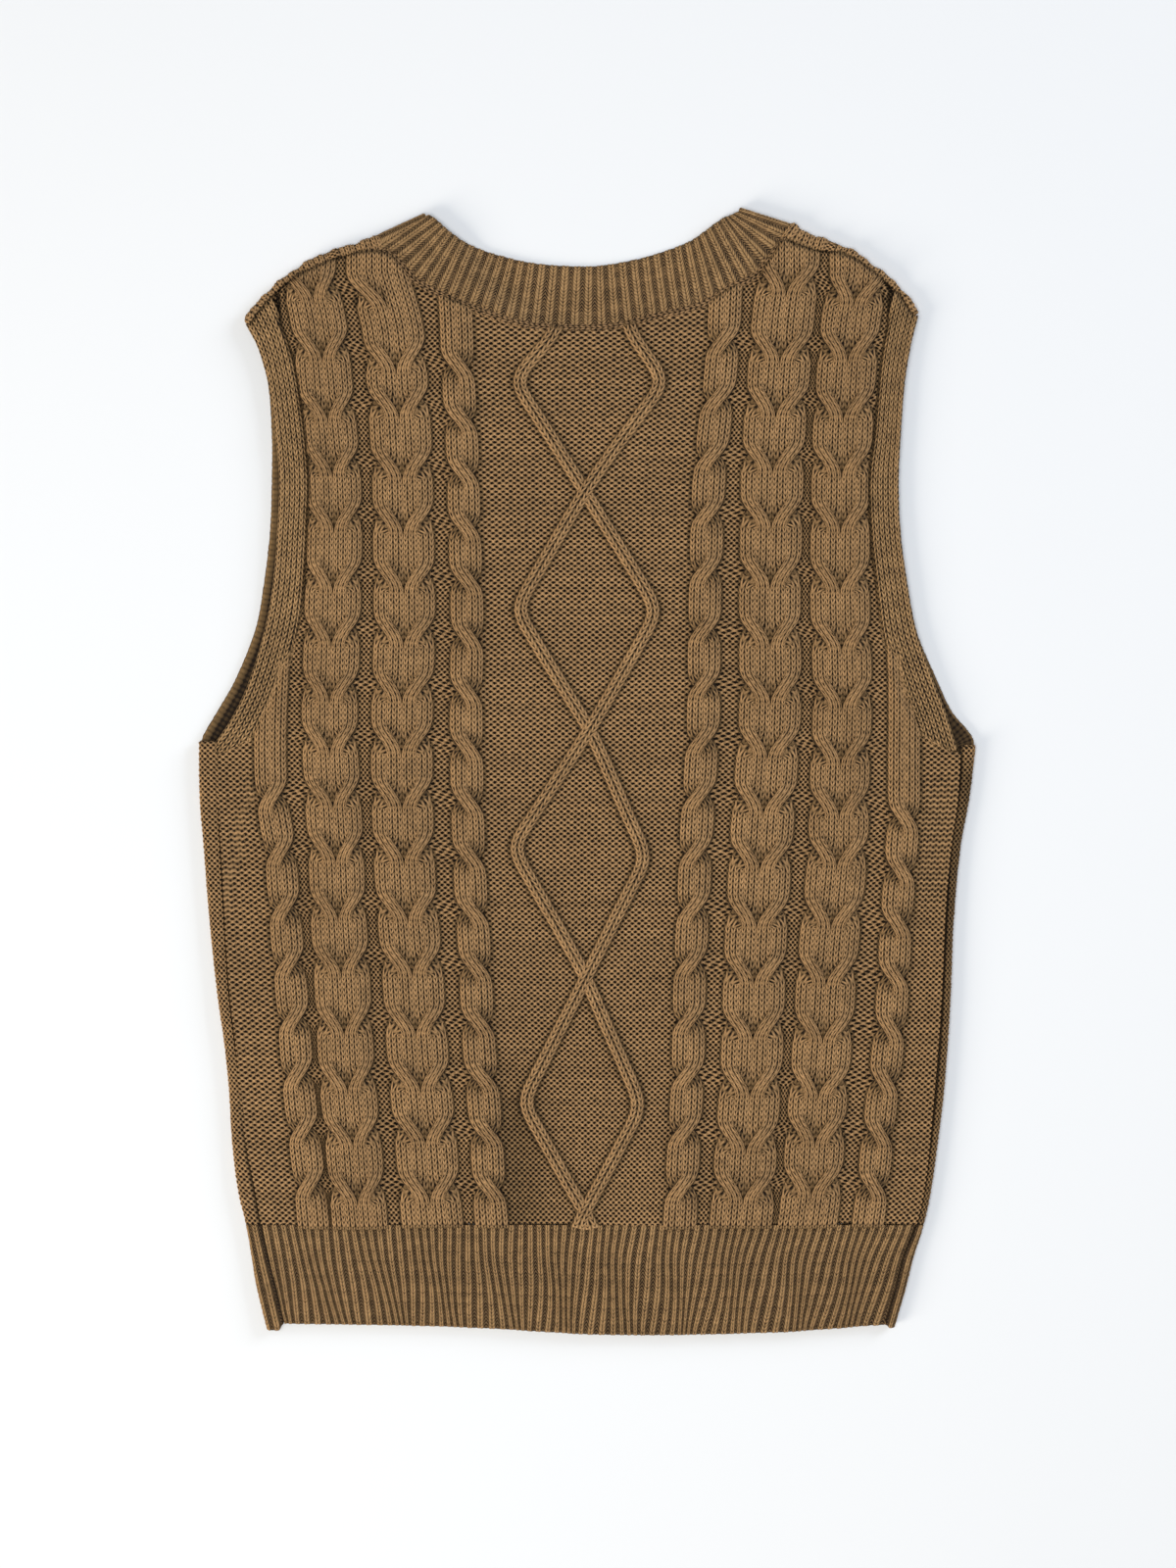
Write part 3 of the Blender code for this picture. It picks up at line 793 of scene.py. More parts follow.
def strandMiddle(name, pair, right, y):
    cable = cables[name]
    offset, _ = cable["pairs"][pair]
    half = cable["width"] / (4 * len(cable["pairs"]))
    front, rear, lift, near = strandRun(name, pair, right, y)
    over = np.clip(lift / cableShape["overLift"], 0, 1)
    width = half * (2 + np.abs(front - rear) - cableShape["overNarrow"] * over)
    pinch = 1 - cableShape["pinch"] * near
    middle = (offset * cable["width"] + (front + rear) / 2 * half) * pinch
    return middle, width, lift, near, pinch


def cableMiddle(name, y):
    return read(cableLines, "y", name, y)


def cableEdge(name, hand, y):
    # a cable's scalloped edge on one side, -1 for left
    pair = 0 if hand < 0 else len(cables[name]["pairs"]) - 1
    reach = []
    for right in (False, True):
        middle, width, _, _, _ = strandMiddle(name, pair, right, y)
        reach.append(hand * middle + width / 2)
    return cableMiddle(name, y) + hand * np.maximum(*reach)


def hemFlattening(y):
    # cables and cords flatten into the hem's ribs
    return 0.45 + 0.55 * smooth((y - cloth["hemTop"]) / 14)


def strandPlace(name, pair, right):
    big = len(cables[name]["pairs"]) > 1
    rise = cableShape["rise" if big else "smallRise"]

    def place(u, v):
        y = heightOf(v)
        middle, width, lift, near, pinch = strandMiddle(name, pair, right, y)
        above = strandMiddle(name, pair, right, y + 0.8)[0]
        below = strandMiddle(name, pair, right, y - 0.8)[0]
        turn = cableShape["turn"] * np.arctan((above - below) / 1.6)
        across = (u / 3 - 0.5) * width * cableShape["spread"]
        x = middle + across * np.cos(turn)
        dome = 1 - np.abs(x / (cables[name]["width"] / 2 * pinch)) ** 4
        rounding = (0.25 + 0.5 * near) * (1 - np.abs(2 * u / 3 - 1) ** 2.5)
        over = np.clip(lift / cableShape["overLift"], 0, 1)
        wall = cableShape["wall"] * over * smooth((np.abs(2 * u / 3 - 1) - 0.85) / 0.15)
        under = np.clip(-lift / cableShape["underDip"], 0, 1)
        # painted shadow from the upper strand on the lower one, and painted shade on the upper strand's sides
        # with a painted highlight between them
        side = smooth(np.abs(x) / 8) if big else 1.0
        shade = (cableShade["under"] + cableShade["underSides"] * side) * under ** 2
        shade = shade + over * (cableShade["overSides"] * np.abs(2 * u / 3 - 1) ** 8 + cableShade["overTop"])
        if big:
            away = np.min([np.abs(y - crossing + 1) for crossing in cables[name]["crossings"]], axis=0)
            shade = shade + cableShade["join"] * np.exp(-(x / 1.2) ** 2 - (away / 4) ** 2)
        shade = shade + cableShade["hem"] * (1 - smooth(2 * v + 1.3))
        height = (rise * np.maximum(dome, -0.3) + lift + rounding - wall - 0.2) * hemFlattening(y)
        return onBack(cableMiddle(name, y) + x, y - across * np.sin(turn), height, shade)

    return place


def strandSlant(name, pair, right):
    # the stitches of a strand that crosses on top are drawn long, so their legs lie almost along it
    def slant(v):
        lift = strandMiddle(name, pair, right, heightOf(v))[2]
        return 0.8 + 1.1 * np.clip(lift / cableShape["overLift"], 0, 1)

    return slant


def cablePatches(names):
    patches = []
    for name in names:
        courses = coursesTo(cables[name].get("top", cloth["panelTop"]))
        for pair in range(len(cables[name]["pairs"])):
            for right in (False, True):
                patches.append(knitPatch(stitchColumns(("knit", 3)), -2 / 3, courses,
                                         strandPlace(name, pair, right),
                                         slant=strandSlant(name, pair, right)))
    return patches


leftPatches = cablePatches(("outerLeft", "big1", "big2", "smallLeft"))
leftCables = makePiece("backPanelCablesLeft", leftPatches, panelKnit)
rightPatches = cablePatches(("smallRight", "big3", "big4", "outerRight"))
rightCables = makePiece("backPanelCablesRight", rightPatches, panelKnit)

# Two knit cords that travel over the middle and cross, which draws the diamonds
cordRuns = {
    "a": table("y x", (243, -15.9), (215.5, -40.2), (153.9, -0.8), (87.5, 38.6), (22.7, 0.8),
               (-41, -40.8), (-112.9, -0.8), (-184.1, 28.9), (-243, -1.2), (-252, -6)),
    "b": table("y x", (244.6, 21.9), (215.5, 42.4), (153.9, -0.8), (89.1, -40.2), (22.7, 0.8),
               (-47.5, 33.2), (-112.9, -0.8), (-183.1, -36.5), (-243, -1.2), (-252, 4)),
}
cordShape = {
    "width": 8.0,
    "rise": 2.0,
    "rounding": 11.0,          # length over which a cord turns at a diamond's side
    "overLift": 0.75,
    "underDip": 0.7,
    "top": 264.0,
    "crossings": ((153.9, "b"), (22.7, "a"), (-112.9, "b"), (-244.0, "a")),   # height, upper cord
}


def cordMiddle(name, y):
    run = cordRuns[name]
    offsets = np.linspace(-1, 1, 9) * cordShape["rounding"]
    weights = 1 - np.abs(np.linspace(-1, 1, 9)) * 0.8
    total = sum(w * np.interp(y + o, run["y"][::-1], run["x"][::-1]) for o, w in zip(offsets, weights))
    return total / weights.sum()


# Purl ground between the cables, from left to right: what bounds each zone, how many stitches wide it
# is, and how high up it goes before the panel's edge cuts it off
zones = {
    "sideLeft": ("leftEdge", "outerLeft", 6, 44),
    "gapOuterLeft": ("outerLeft", "big1", 3, 300),
    "gapBigLeft": ("big1", "big2", 3, 300),
    "gapSmallLeft": ("big2", "smallLeft", 3, 300),
    "middle": ("smallLeft", "smallRight", 29, 264),
    "gapSmallRight": ("smallRight", "big3", 3, 300),
    "gapBigRight": ("big3", "big4", 3, 300),
    "gapOuterRight": ("big4", "outerRight", 3, 300),
    "sideRight": ("outerRight", "rightEdge", 6, 44),
}
hiddenGround = ((0.1, 0.8), (0.3, 1.3), (1.0, 1.5))   # share of the way under a cable, and depth
# Painted shade on the purl ground beside cables and cords and in a slack hollow low down, and how much
# lighter the narrow gaps are
groundShade = {
    "beside": 0.4,             # next to a cable or a cord
    "reach": 1.6,              # and how far from it
    "narrow": 0.03,            # how much lighter the narrow gaps are
    "slack": 0.2,              # in a slack hollow low down, left of the middle
    "slackMiddle": -36,
    "slackReach": 14,
    "slackTop": -150,
}


def zoneBound(name, hand, y, narrow=True):
    # narrow gaps follow the cables' scalloped edges, wide ones keep straight and run beneath them
    if name == "leftEdge":
        return backEdge("left", y) + 0.3
    if name == "rightEdge":
        return backEdge("right", y) - 0.3
    if narrow:
        return cableEdge(name, hand, y)
    return cableMiddle(name, y) + hand * (cables[name]["width"] / 2 - 1.6)


def zonePatch(left, right, count, top):
    narrow = left in cables and right in cables and count < 4

    def place(u, v):
        y = heightOf(v)
        start, end = zoneBound(left, 1, y, narrow), zoneBound(right, -1, y, narrow)
        x = start + (end - start) * u / count
        if left in cables:
            x = np.where(u < 0, start + u * (start - cableMiddle(left, y)), x)
        if right in cables:
            x = np.where(u > count, end + (u - count) * (cableMiddle(right, y) - end), x)
        beside = np.minimum(x - zoneBound(left, 1, y) if left in cables else 9 + 0 * x,
                            zoneBound(right, -1, y) - x if right in cables else 9 + 0 * x)
        if count > 20:
            for name in cordRuns:
                beside = np.minimum(beside, np.abs(np.abs(x - cordMiddle(name, y)) - cordShape["width"] / 2))
        # painted shade beside cables and cords and in the slack hollow, and lighter in the narrow gaps
        shade = groundShade["beside"] * np.exp(-(np.maximum(beside, 0) / groundShade["reach"]) ** 2)
        shade = shade - groundShade["narrow"] * narrow
        if count > 20:
            away = (x - groundShade["slackMiddle"]) / groundShade["slackReach"]
            low = smooth((groundShade["slackTop"] - y) / 40)
            shade = shade + groundShade["slack"] * np.exp(-away ** 2) * low
        return onBack(x, y, -0.4 * narrow, shade)

    def calm(x, y):
        # purl beside the outer cables is drawn out flat, most of it where the cable draws in
        if right == "outerLeft":
            away = zoneBound(right, -1, y) - x - 4 + (y + 7) * 0.32
            near = 1.3 * np.exp(-(away / 4.5) ** 2) * smooth((y + 95) / 20)
        elif left == "outerRight":
            near = smooth((x - zoneBound(left, 1, y)) / 9 + 0.2) * smooth((y + 85) / 30)
        else:
            return 0 * x
        return 0.7 * near * smooth((6 - y) / 16)

    before, after = (hiddenGround if side in cables else () for side in (left, right))
    columns = stitchColumns(("openPurl" if narrow else "purl", count), before=before, after=after)
    return knitPatch(columns, 0, coursesTo(top), place, calm=calm)


order = list(zones)
leftZones = [zonePatch(*zones[name]) for name in order[:4]]
rightZones = [zonePatch(*zones[name]) for name in order[5:]]
leftGround = makePiece("backPanelGroundLeft", leftZones, panelKnit)
rightGround = makePiece("backPanelGroundRight", rightZones, panelKnit)
middleGround = makePiece("backPanelMiddle", [zonePatch(*zones["middle"])], panelKnit)


def cordPatch(name):
    def place(u, v):
        y = heightOf(v)
        middle = cordMiddle(name, y)
        turn = 0.8 * np.arctan((cordMiddle(name, y + 1) - cordMiddle(name, y - 1)) / 2)
        across = (u / 2 - 0.5) * cordShape["width"]
        lift = np.zeros(np.shape(y))
        for crossing, upper in cordShape["crossings"]:
            close = 0.5 + 0.5 * np.cos(np.pi * np.clip((y - crossing) / 9, -1, 1))
            lift = lift + close * (cordShape["overLift"] if upper == name else -cordShape["underDip"])
        dome = 1 - np.abs(u - 1) ** 4 * 1.15
        return onBack(middle + across * np.cos(turn), y - across * np.sin(turn),
                      (cordShape["rise"] * dome + lift) * hemFlattening(y))

    return knitPatch(stitchColumns(("knit", 2)), -2 / 3, coursesTo(cordShape["top"]), place)


cords = makePiece("backPanelDiamondCords", [cordPatch("a"), cordPatch("b")], panelKnit)


class Path:
    # a line on the cloth that can be read by its length, with the way along and to its left
    def __init__(self, points):
        self.points = np.asarray(points, float)
        steps = np.linalg.norm(np.diff(self.points[:, :2], axis=0), axis=1)
        self.length = np.concatenate(([0], np.cumsum(steps)))
        self.total = self.length[-1]

    def at(self, length):
        return spot(*(np.interp(length, self.length, self.points[:, i]) for i in (0, 1)), 0 * length)

    def left(self, length):
        run = unit(self.at(np.minimum(length + 1.5, self.total)) - self.at(np.maximum(length - 1.5, 0)))
        return spot(-run[..., 1], run[..., 0], 0 * length)


armholeEdge = {
    "wales": 6,
    "waleWidth": 3.0,
    "low": 12.0,
    "high": 247.0,
    "evenAbove": 78.0,         # below this the inner wales run out under the outer cable
    "rise": 0.9,               # the strip lies this much above the ground's crests
    "frontMiddle": 1.45,       # level of the middle of the front layer's wall
    "backRunOn": 28.0,         # how far the line runs on straight past its upper end
    "frontRunOn": 0.1,
}


def edgePath(layer, hand):
    y = np.linspace(armholeEdge["low"], armholeEdge["high"], 120)
    points = np.stack((read(armholes, "y", layer + hand.title(), y), y), -1)
    onward = unit(points[-1:] - points[-2:-1]) * armholeEdge[layer + "RunOn"]
    return Path(np.concatenate((points, points[-1:] + onward)))


def backStrip(hand):
    path = edgePath("back", hand)
    sign = 1 if hand == "left" else -1
    radius = cloth["rimRadius"]

    def place(u, v):
        length = v * cloth["course"]
        edge = path.at(length)
        past = path.left(length) * sign
        above = np.maximum(edge[..., 1], armholeEdge["evenAbove"])
        width = np.abs(read(stripInner, "y", hand, above) - read(armholes, "y", "back" + hand.title(), above))
        wale = np.where(u > 0, width / armholeEdge["wales"], np.pi * radius)
        line = edge - past * radius
        firm = stripFirmness(edge[..., 1])
        level = upperLevel(line[..., 0], line[..., 1]) + armholeEdge["rise"] * firm - radius
        line[..., 2] = level - 1.1 * (1 - smooth(v / 3))
        point, facing = aroundRim(line, up, past, radius, -u * wale + 0.4)
        inner = inStrip(point[..., 0], point[..., 1])
        top = topMargin(point[..., 0], point[..., 1])
        side = 1 - smooth((inner + 0.8) / 2.2)
        seam = 1 - smooth(top / 2.5)
        point[..., 2] -= np.where(u > 0, (0.5 + 2.4 * firm) * side + cloth["tuck"] * seam, 0)
        point[..., 2] = np.where((inner > -4) & (top > -2), point[..., 2], np.nan)
        # painted shade beside the inner edge and at the seam, a painted highlight on the rounded rim, and a
        # little lighter where the strip stands up
        rim = smooth(1 - np.abs(u) / 0.6)
        return point, facing, 0.6 * side * firm + 0.5 * seam - 0.5 * rim - 0.12 * firm

    columns = stitchColumns(("edgeKnit", armholeEdge["wales"]), before=((0.3, -0.1), (0.6, 0.1), (0.95, 0.2)))
    return knitPatch(columns, 0, path.total / cloth["course"], place, flip=hand == "right")


print("back panel made")


# Ribbed hem, two layers, and the front one rolled up over both sides
hem = {
    "ribs": 74,
    "sideRibs": 4,
    "courses": 20,
    "rise": 0.25,              # the ribs' crests above those of the ground
    "sway": 0.34,              # how far a rib strays sideways, as a share of a rib
    "leftCorner": -3.8,        # how far the rolled front reaches below the back at the left corner
    "rightCorner": -1.6,
    "topOverlap": 0.6,         # how far the ribs reach past the hem's top line
    "beneath": -1.6,           # the course where they end beneath the rim
    "rollStart": 0.54,         # where in its first rib the rolled part meets the seam
}
sideways = {"left": np.array((-1.0, 0.0, 0.0)), "right": np.array((1.0, 0.0, 0.0))}
towardHem = np.array((0.0, -1.0, 0.0))


def hemLine(share):
    # the lower edge's height, from the left end (0) to the right one (1)
    low, high = hemEdge["x"][[0, -1]]
    return read(hemEdge, "x", "y", low + (high - low) * share)


def hemRow(low, v):
    # how far a course of the rib has gone round the lower rim, and its height
    radius = cloth["rimRadius"]
    length = cloth["hemTop"] + hem["topOverlap"] - low
    reach = np.pi / 2 * radius - v * length / hem["courses"]
    return reach, low + radius + np.maximum(-reach, 0)


def pressed(facing, reach, radius):
    # the way out with less relief where the rib turns round its rim
    fade = 1 - 0.45 * np.clip(reach / radius + 0.5, 0, 1)
    return facing * fade[..., None]


def swayed(u, y):
    # ribs stray a little sideways, more towards the lower edge
    down = np.clip((cloth["hemTop"] - y) / 60, 0, 1)
    return u + hem["sway"] * (0.2 + down) * (np.sin(u * 0.9 + y / 19) + 0.9 * np.sin(u * 0.37 - y / 31))


def backHemPlace(u, v):
    radius = cloth["rimRadius"]
    share = u / hem["ribs"]
    low = hemLine(share)
    reach, y = hemRow(low, v)
    share = np.clip(swayed(u, y) / hem["ribs"], 0, 1)
    start, end = backEdge("left", y) + 0.3, backEdge("right", y) - 0.3
    x = start + (end - start) * share
    top = smooth((v - hem["courses"] + 1.3) / 1.3)
    level = upperLevel(x, y) + hem["rise"] - radius - 0.4 * top
    line = spot(x, low + radius, level)
    point, facing = aroundRim(line, up, towardHem, radius, reach)
    return point, pressed(facing, reach, radius), 0.0


def frontHemPlace(u, v):
    radius = cloth["rimRadius"]
    share = u / hem["ribs"]
    low = hemLine(share)
    reach, y = hemRow(low, v)
    inset = cloth["foldRadius"]
    start = read(sides, "y", "leftFold", y) + inset
    end = read(sides, "y", "rightFold", y) - inset
    line = spot(start + (end - start) * share, low + radius, cloth["lowest"] + radius)
    point, facing = aroundRim(line, -up, towardHem, radius, reach)
    return point, pressed(facing, reach, radius), 0.0


def roundFold(reach, radius, inner):
    # a way round a fold of one radius as the shorter way of a layer further in
    onCurve = np.where(reach < np.pi * radius, reach * inner / radius,
                       np.pi * inner + reach - np.pi * radius)
    return np.where(reach < 0, reach, onCurve)


def foldSpot(hand, y, share):
    # a point of the wall's middle where the front rolls over a side fold, from the seam on top
    # (share 0) round the fold and on beneath it (share 1), and the way it faces
    radius = cloth["foldRadius"]
    inner = radius - cloth["rimRadius"]
    outward = sideways[hand]
    fold = read(sides, "y", hand + "Fold", y)
    seam = read(sides, "y", hand + "Seam", y)
    start = radius - np.abs(fold - seam)
    reach = start + (np.pi * radius + cloth["foldRun"] - start) * share
    axis = spot(fold - outward[0] * radius, y, cloth["lowest"] + radius)
    axis[..., 2] += unevenness(fold, y) * 0.5 + 0.12
    return aroundRim(axis, up, outward, inner, roundFold(reach, radius, inner))


def hemRollPlace(hand):
    def place(u, v):
        radius = cloth["rimRadius"]
        share = (u - hem["rollStart"]) / (hem["sideRibs"] - hem["rollStart"])
        low = hemLine(0.0 if hand == "left" else 1.0) + hem[hand + "Corner"] * smooth(share * 5)
        low = low + 1.2 * smooth(share * 2.5 - 1)
        reach, y = hemRow(low, v)
        middle, out = foldSpot(hand, y, share)
        middle[..., 1] = low + radius
        point, facing = aroundRim(middle, out, towardHem, radius, reach)
        # painted shade where the roll meets the seam
        return point, pressed(facing, reach, radius), 0.35 * (1 - smooth(share * 6))

    return place


def cut(columns, low, high):
    keep = (columns["u"] >= low - 1e-6) & (columns["u"] <= high + 1e-6)
    return {name: values[keep] for name, values in columns.items()}


def hemPatches(layer):
    low, high = hem["beneath"], hem["courses"]
    ribs = stitchColumns(("rib", hem["ribs"]))
    if layer == "back":
        return [knitPatch(ribs, low, high, backHemPlace)]
    patches = [knitPatch(ribs, low, high, frontHemPlace, perCourse=2, flip=True)]
    roll = cut(stitchColumns(("rib", hem["sideRibs"])), hem["rollStart"], hem["sideRibs"])
    for hand in ("left", "right"):
        patches.append(knitPatch(roll, low, high, hemRollPlace(hand), flip=hand == "left"))
    return patches


backHem = makePiece("backHemRib", hemPatches("back"), ribKnit)
frontHem = makePiece("frontHemRib", hemPatches("front"), ribKnit)


# Sides: the front panel's purl side rolled up to the seam
sideRoll = {"wales": 6, "left": 17.0, "right": 14.8}    # left and right: how high up the roll ends


def sideRollPlace(hand):
    def place(u, v):
        radius = cloth["rimRadius"]
        y = heightOf(v)
        limit = sideRoll[hand] - radius
        middle, out = foldSpot(hand, np.minimum(y, limit), u / sideRoll["wales"])
        point, facing = aroundRim(middle, out, -towardHem, radius, np.maximum(y - limit, 0))
        # painted shade in the seam's groove, and over the right roll, less towards the hem and none near its
        # top
        seam = 1 - smooth(u / 0.8)
        firm = 1.0 if hand == "right" else 0.1 + 0.8 * smooth((-y - 180) / 40)
        point[..., 2] -= 1.3 * seam * firm
        paintedShade = (0.3 - 0.15 * smooth((-70 - y) / 80)) * smooth((10 - y) / 14) if hand == "right" else 0
        return point, facing, 0.6 * seam * firm + paintedShade

    courses = coursesTo(sideRoll[hand] + 2.5)
    return knitPatch(stitchColumns(("purl", sideRoll["wales"])), 0, courses, place, flip=hand == "left")


# Shoulders: the front panel's stitches rolled over to the seam on top
shoulderRoll = {
    "courses": 7,
    "left": (("knit", 16), ("purl", 2), ("knit", 8)),
    "right": (("knit", 7), ("purl", 2), ("knit", 15)),
}


def shoulderRollPatch(hand):
    rows = leftShoulder if hand == "left" else rightShoulder
    plan = shoulderRoll[hand]
    count = sum(n for _, n in plan)
    radius = cloth["foldRadius"]
    end = cloth["rimRadius"]
    low, high = rows["x"].min(), rows["x"].max()
    side = -1 if hand == "left" else 1

    def place(u, v):
        share = np.clip(u / count, 0, 1)
        if hand == "left":
            x = low + end - 1 + (high + 2.5 - low) * share
        else:
            x = low - 2.5 + (high + 3.5 - end - low) * share
        seam = read(rows, "x", "seam", x)
        reach = radius - seam
        reach = reach + (np.pi * radius + cloth["foldRun"] - reach) * v / shoulderRoll["courses"]
        axis, outward = shoulderSpot(rows, x, radius + 0 * x)
        # the stitches of a rolled edge bulge unevenly
        lump = 0.7 * np.sin(u * 1.1 + 0.6) + 0.6 * np.sin(u * 2.3) + 0.5 * np.sin(u * 0.47 + 1)
        axis[..., 2] = radius + cloth["lowest"] + 0.2
        inner = radius - end + lump * 0.6
        middle, facing = aroundRim(axis, up, outward, inner, roundFold(reach, radius, inner))
        past = spot(outward[..., 1] * side, -outward[..., 0] * side, 0 * x)
        beyond = np.maximum(-u if hand == "left" else u - count, 0) * 2.6
        point, facing = aroundRim(middle, facing, past, end, beyond)
        # painted shade at the seam, and a little lighter all over
        seamShare = 1 - smooth(v / 0.6)
        point[..., 2] -= 1.2 * seamShare
        return point, facing, 0.35 * seamShare - 0.12

    columns = stitchColumns(("knit", 2), *plan) if hand == "left" else stitchColumns(*plan, ("knit", 2))
    if hand == "left":
        columns["u"] = columns["u"] - 2
    return knitPatch(cut(columns, -1.5, count + 1.5), 0, shoulderRoll["courses"], place, jitter=0.13)


frontRolls = makePiece("frontPanelRolls", [sideRollPlace("left"), sideRollPlace("right"),
                                           shoulderRollPatch("left"), shoulderRollPatch("right")], panelKnit)


# Armhole strips of the front, whose inside shows beyond the back's edge
def frontStrip(hand):
    path = edgePath("front", hand)
    sign = 1 if hand == "left" else -1
    radius = cloth["rimRadius"]

    def place(u, v):
        length = v * cloth["course"]
        past = path.left(length) * sign
        line = path.at(length) - past * radius
        line[..., 2] = armholeEdge["frontMiddle"]
        point, facing = aroundRim(line, up, past, radius, u * armholeEdge["waleWidth"] + np.pi / 2 * radius)
        top = topMargin(point[..., 0], point[..., 1])
        point[..., 2] = np.where(top > -1, point[..., 2], np.nan)
        # painted shade over the inside that shows between the layers, past a bare band by the rim, and a
        # little over the whole strip
        bare, paintedShade = (1.1, 0.5) if hand == "left" else (0.3, 0.42)
        return point, facing, 0.15 + paintedShade * smooth((-u - bare) / 0.7)

    inside = cut(stitchColumns(("inside", 4)), 0, 4)
    inside["u"] = inside["u"] - 4
    outside = stitchColumns(("edgeKnit", armholeEdge["wales"]))
    columns = {key: np.concatenate((inside[key][:-1], outside[key])) for key in inside}
    return knitPatch(columns, 0, path.total / cloth["course"], place, flip=hand == "left")


for hand in ("left", "right"):
    for layer, strip in (("back", backStrip), ("front", frontStrip)):
        piece = makePiece(f"{layer}ArmholeEdge{hand.title()}", [strip(hand)], edgeKnit)
        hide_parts(f"{layer}_armhole_edge_{hand}")


# Neckband: a ribbed ring folded flat, its back half on top
neck = {
    "backRibs": 36,
    "crowding": 0.018,         # the ribs lie closer together towards the two ends
    "frontRibs": 40,
    "courses": 12,
    "rise": 0.3,
    "pitch": 5.3,              # a rib's width round the folds at its two ends
}


def bandSections(rows):
    # the sections by their place along the band, the first and last drawn in by the fold
    radius = cloth["foldRadius"]
    seam = np.stack((rows["seamX"], rows["seamY"]), -1)
    inner = np.stack((rows["innerX"], rows["innerY"]), -1)
    for end, sign in ((0, 1), (-1, -1)):
        along = unit(inner[end] - seam[end])
        inward = sign * np.array((along[1], -along[0]))
        seam[end] += inward * radius
        inner[end] += inward * radius
    middle = (seam + inner) / 2
    steps = np.linalg.norm(np.diff(middle, axis=0), axis=1)
    keep = np.concatenate(([True], steps > 1.5))
    keep[-1] = True
    seam, inner, middle = seam[keep], inner[keep], middle[keep]
    length = np.concatenate(([0], np.cumsum(np.linalg.norm(np.diff(middle, axis=0), axis=1))))
    return {"length": length, "seamX": seam[:, 0], "seamY": seam[:, 1],
            "innerX": inner[:, 0], "innerY": inner[:, 1]}


def bandPatch(layer):
    rows = bandSections(neckBack if layer == "back" else neckFront)
    total = rows["length"][-1]
    ribs = neck[layer + "Ribs"]
    radius, outer = cloth["rimRadius"], cloth["foldRadius"]
    upper = layer == "back"

    def place(u, v):
        share = np.clip(u / ribs, 0, 1)
        along = (share - neck["crowding"] * np.sin(2 * np.pi * share)) * total
        seam = spot(read(rows, "length", "seamX", along), read(rows, "length", "seamY", along), 0 * along)
        inner = spot(read(rows, "length", "innerX", along), read(rows, "length", "innerY", along), 0 * along)
        span = np.linalg.norm(inner - seam, axis=-1)
        across = unit(inner - seam)
        beyond = np.where(u < 0, -u, np.maximum(u - ribs, 0)) * neck["pitch"]
        side = np.where(u < 0, -1.0, 1.0)
        outward = spot(across[..., 1] * side, -across[..., 0] * side, 0 * side)
        reach = v * span / neck["courses"] - span + radius * np.pi / 2
        flat = inner - across * (radius + np.maximum(-reach, 0)[..., None])
        if upper:
            step = upperLevel(flat[..., 0], flat[..., 1])
            seamShare = 1 - smooth(v / 0.9)
            flat[..., 2] = step + neck["rise"] - radius - 0.9 * seamShare
            # painted shade where the band is drawn down to its seam
            shade = 0.3 * seamShare
        else:
            flat[..., 2] = cloth["lowest"] + radius
            shade = 0.0
        middle, out = flat, (up if upper else -up) + 0 * flat
        if upper:
            bend = (beyond > 0) | (u <= 0) | (u >= ribs)
            axis = flat.copy()
            axis[..., 2] = flat[..., 2] - (outer - radius)
            rolled, face = aroundRim(axis, up, outward, outer - radius, beyond * (outer - radius) / outer)
            middle = np.where(bend[..., None], rolled, flat)
            out = np.where(bend[..., None], face, out)
        point, facing = aroundRim(middle, out, across, radius, np.maximum(reach, 0))
        return point, pressed(facing, reach, radius), shade

    columns = stitchColumns(("bandRib", ribs))
    if upper:
        wrap = stitchColumns(("bandRib", ribs + 4))
        wrap["u"] = wrap["u"] - 2
        columns = cut(wrap, -1.5, ribs + 1.5)
    return knitPatch(columns, 0, neck["courses"] + 1.6, place, perCourse=3 if upper else 2,
                     flip=not upper)


neckband = makePiece("neckbandRib", [bandPatch("back"), bandPatch("front")], ribKnit)
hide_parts("neckband")


# Linking: the chain that joins the neckband to the back
chain = {
    "width": 5.0,
    "pitch": 3.1,              # length of one loop
    "rise": 0.8,               # how far its middle stands above its two sides
    "sunk": 0.35,              # how far the sides lie below the ground's crests
}


def chainPatch(points):
    path = Path(points)

    def place(u, v):
        length = v * chain["pitch"]
        line = path.at(length) + path.left(length) * ((u / 2 - 0.5) * chain["width"])[..., None]
        share = u / 2
        rise = chain["rise"] * (1 - np.abs(2 * share - 1) ** 3) - chain["sunk"]
        line[..., 2] = upperLevel(line[..., 0], line[..., 1]) + rise
        # painted shade: darker at its two sides, and along its lower side darkest in the middle of the back
        paintedMiddleShade = 0.5 * smooth(1 - np.abs(line[..., 0] + 6) / 34) * smooth(1.4 - 4 * share)
        return line, up, 0.25 * np.abs(2 * share - 1) ** 3 + paintedMiddleShade

    courses = path.total / chain["pitch"]
    return knitPatch(stitchColumns(("link", 2)), 0, courses, place, flip=True, jitter=0.2)


bandRows = bandSections(neckBack)
along = np.linspace(0, bandRows["length"][-1], 160)
neckSeam = np.stack((read(bandRows, "length", "seamX", along), read(bandRows, "length", "seamY", along)), -1)
chains = makePiece("neckLinkingChain", [chainPatch(neckSeam)], seamKnit)

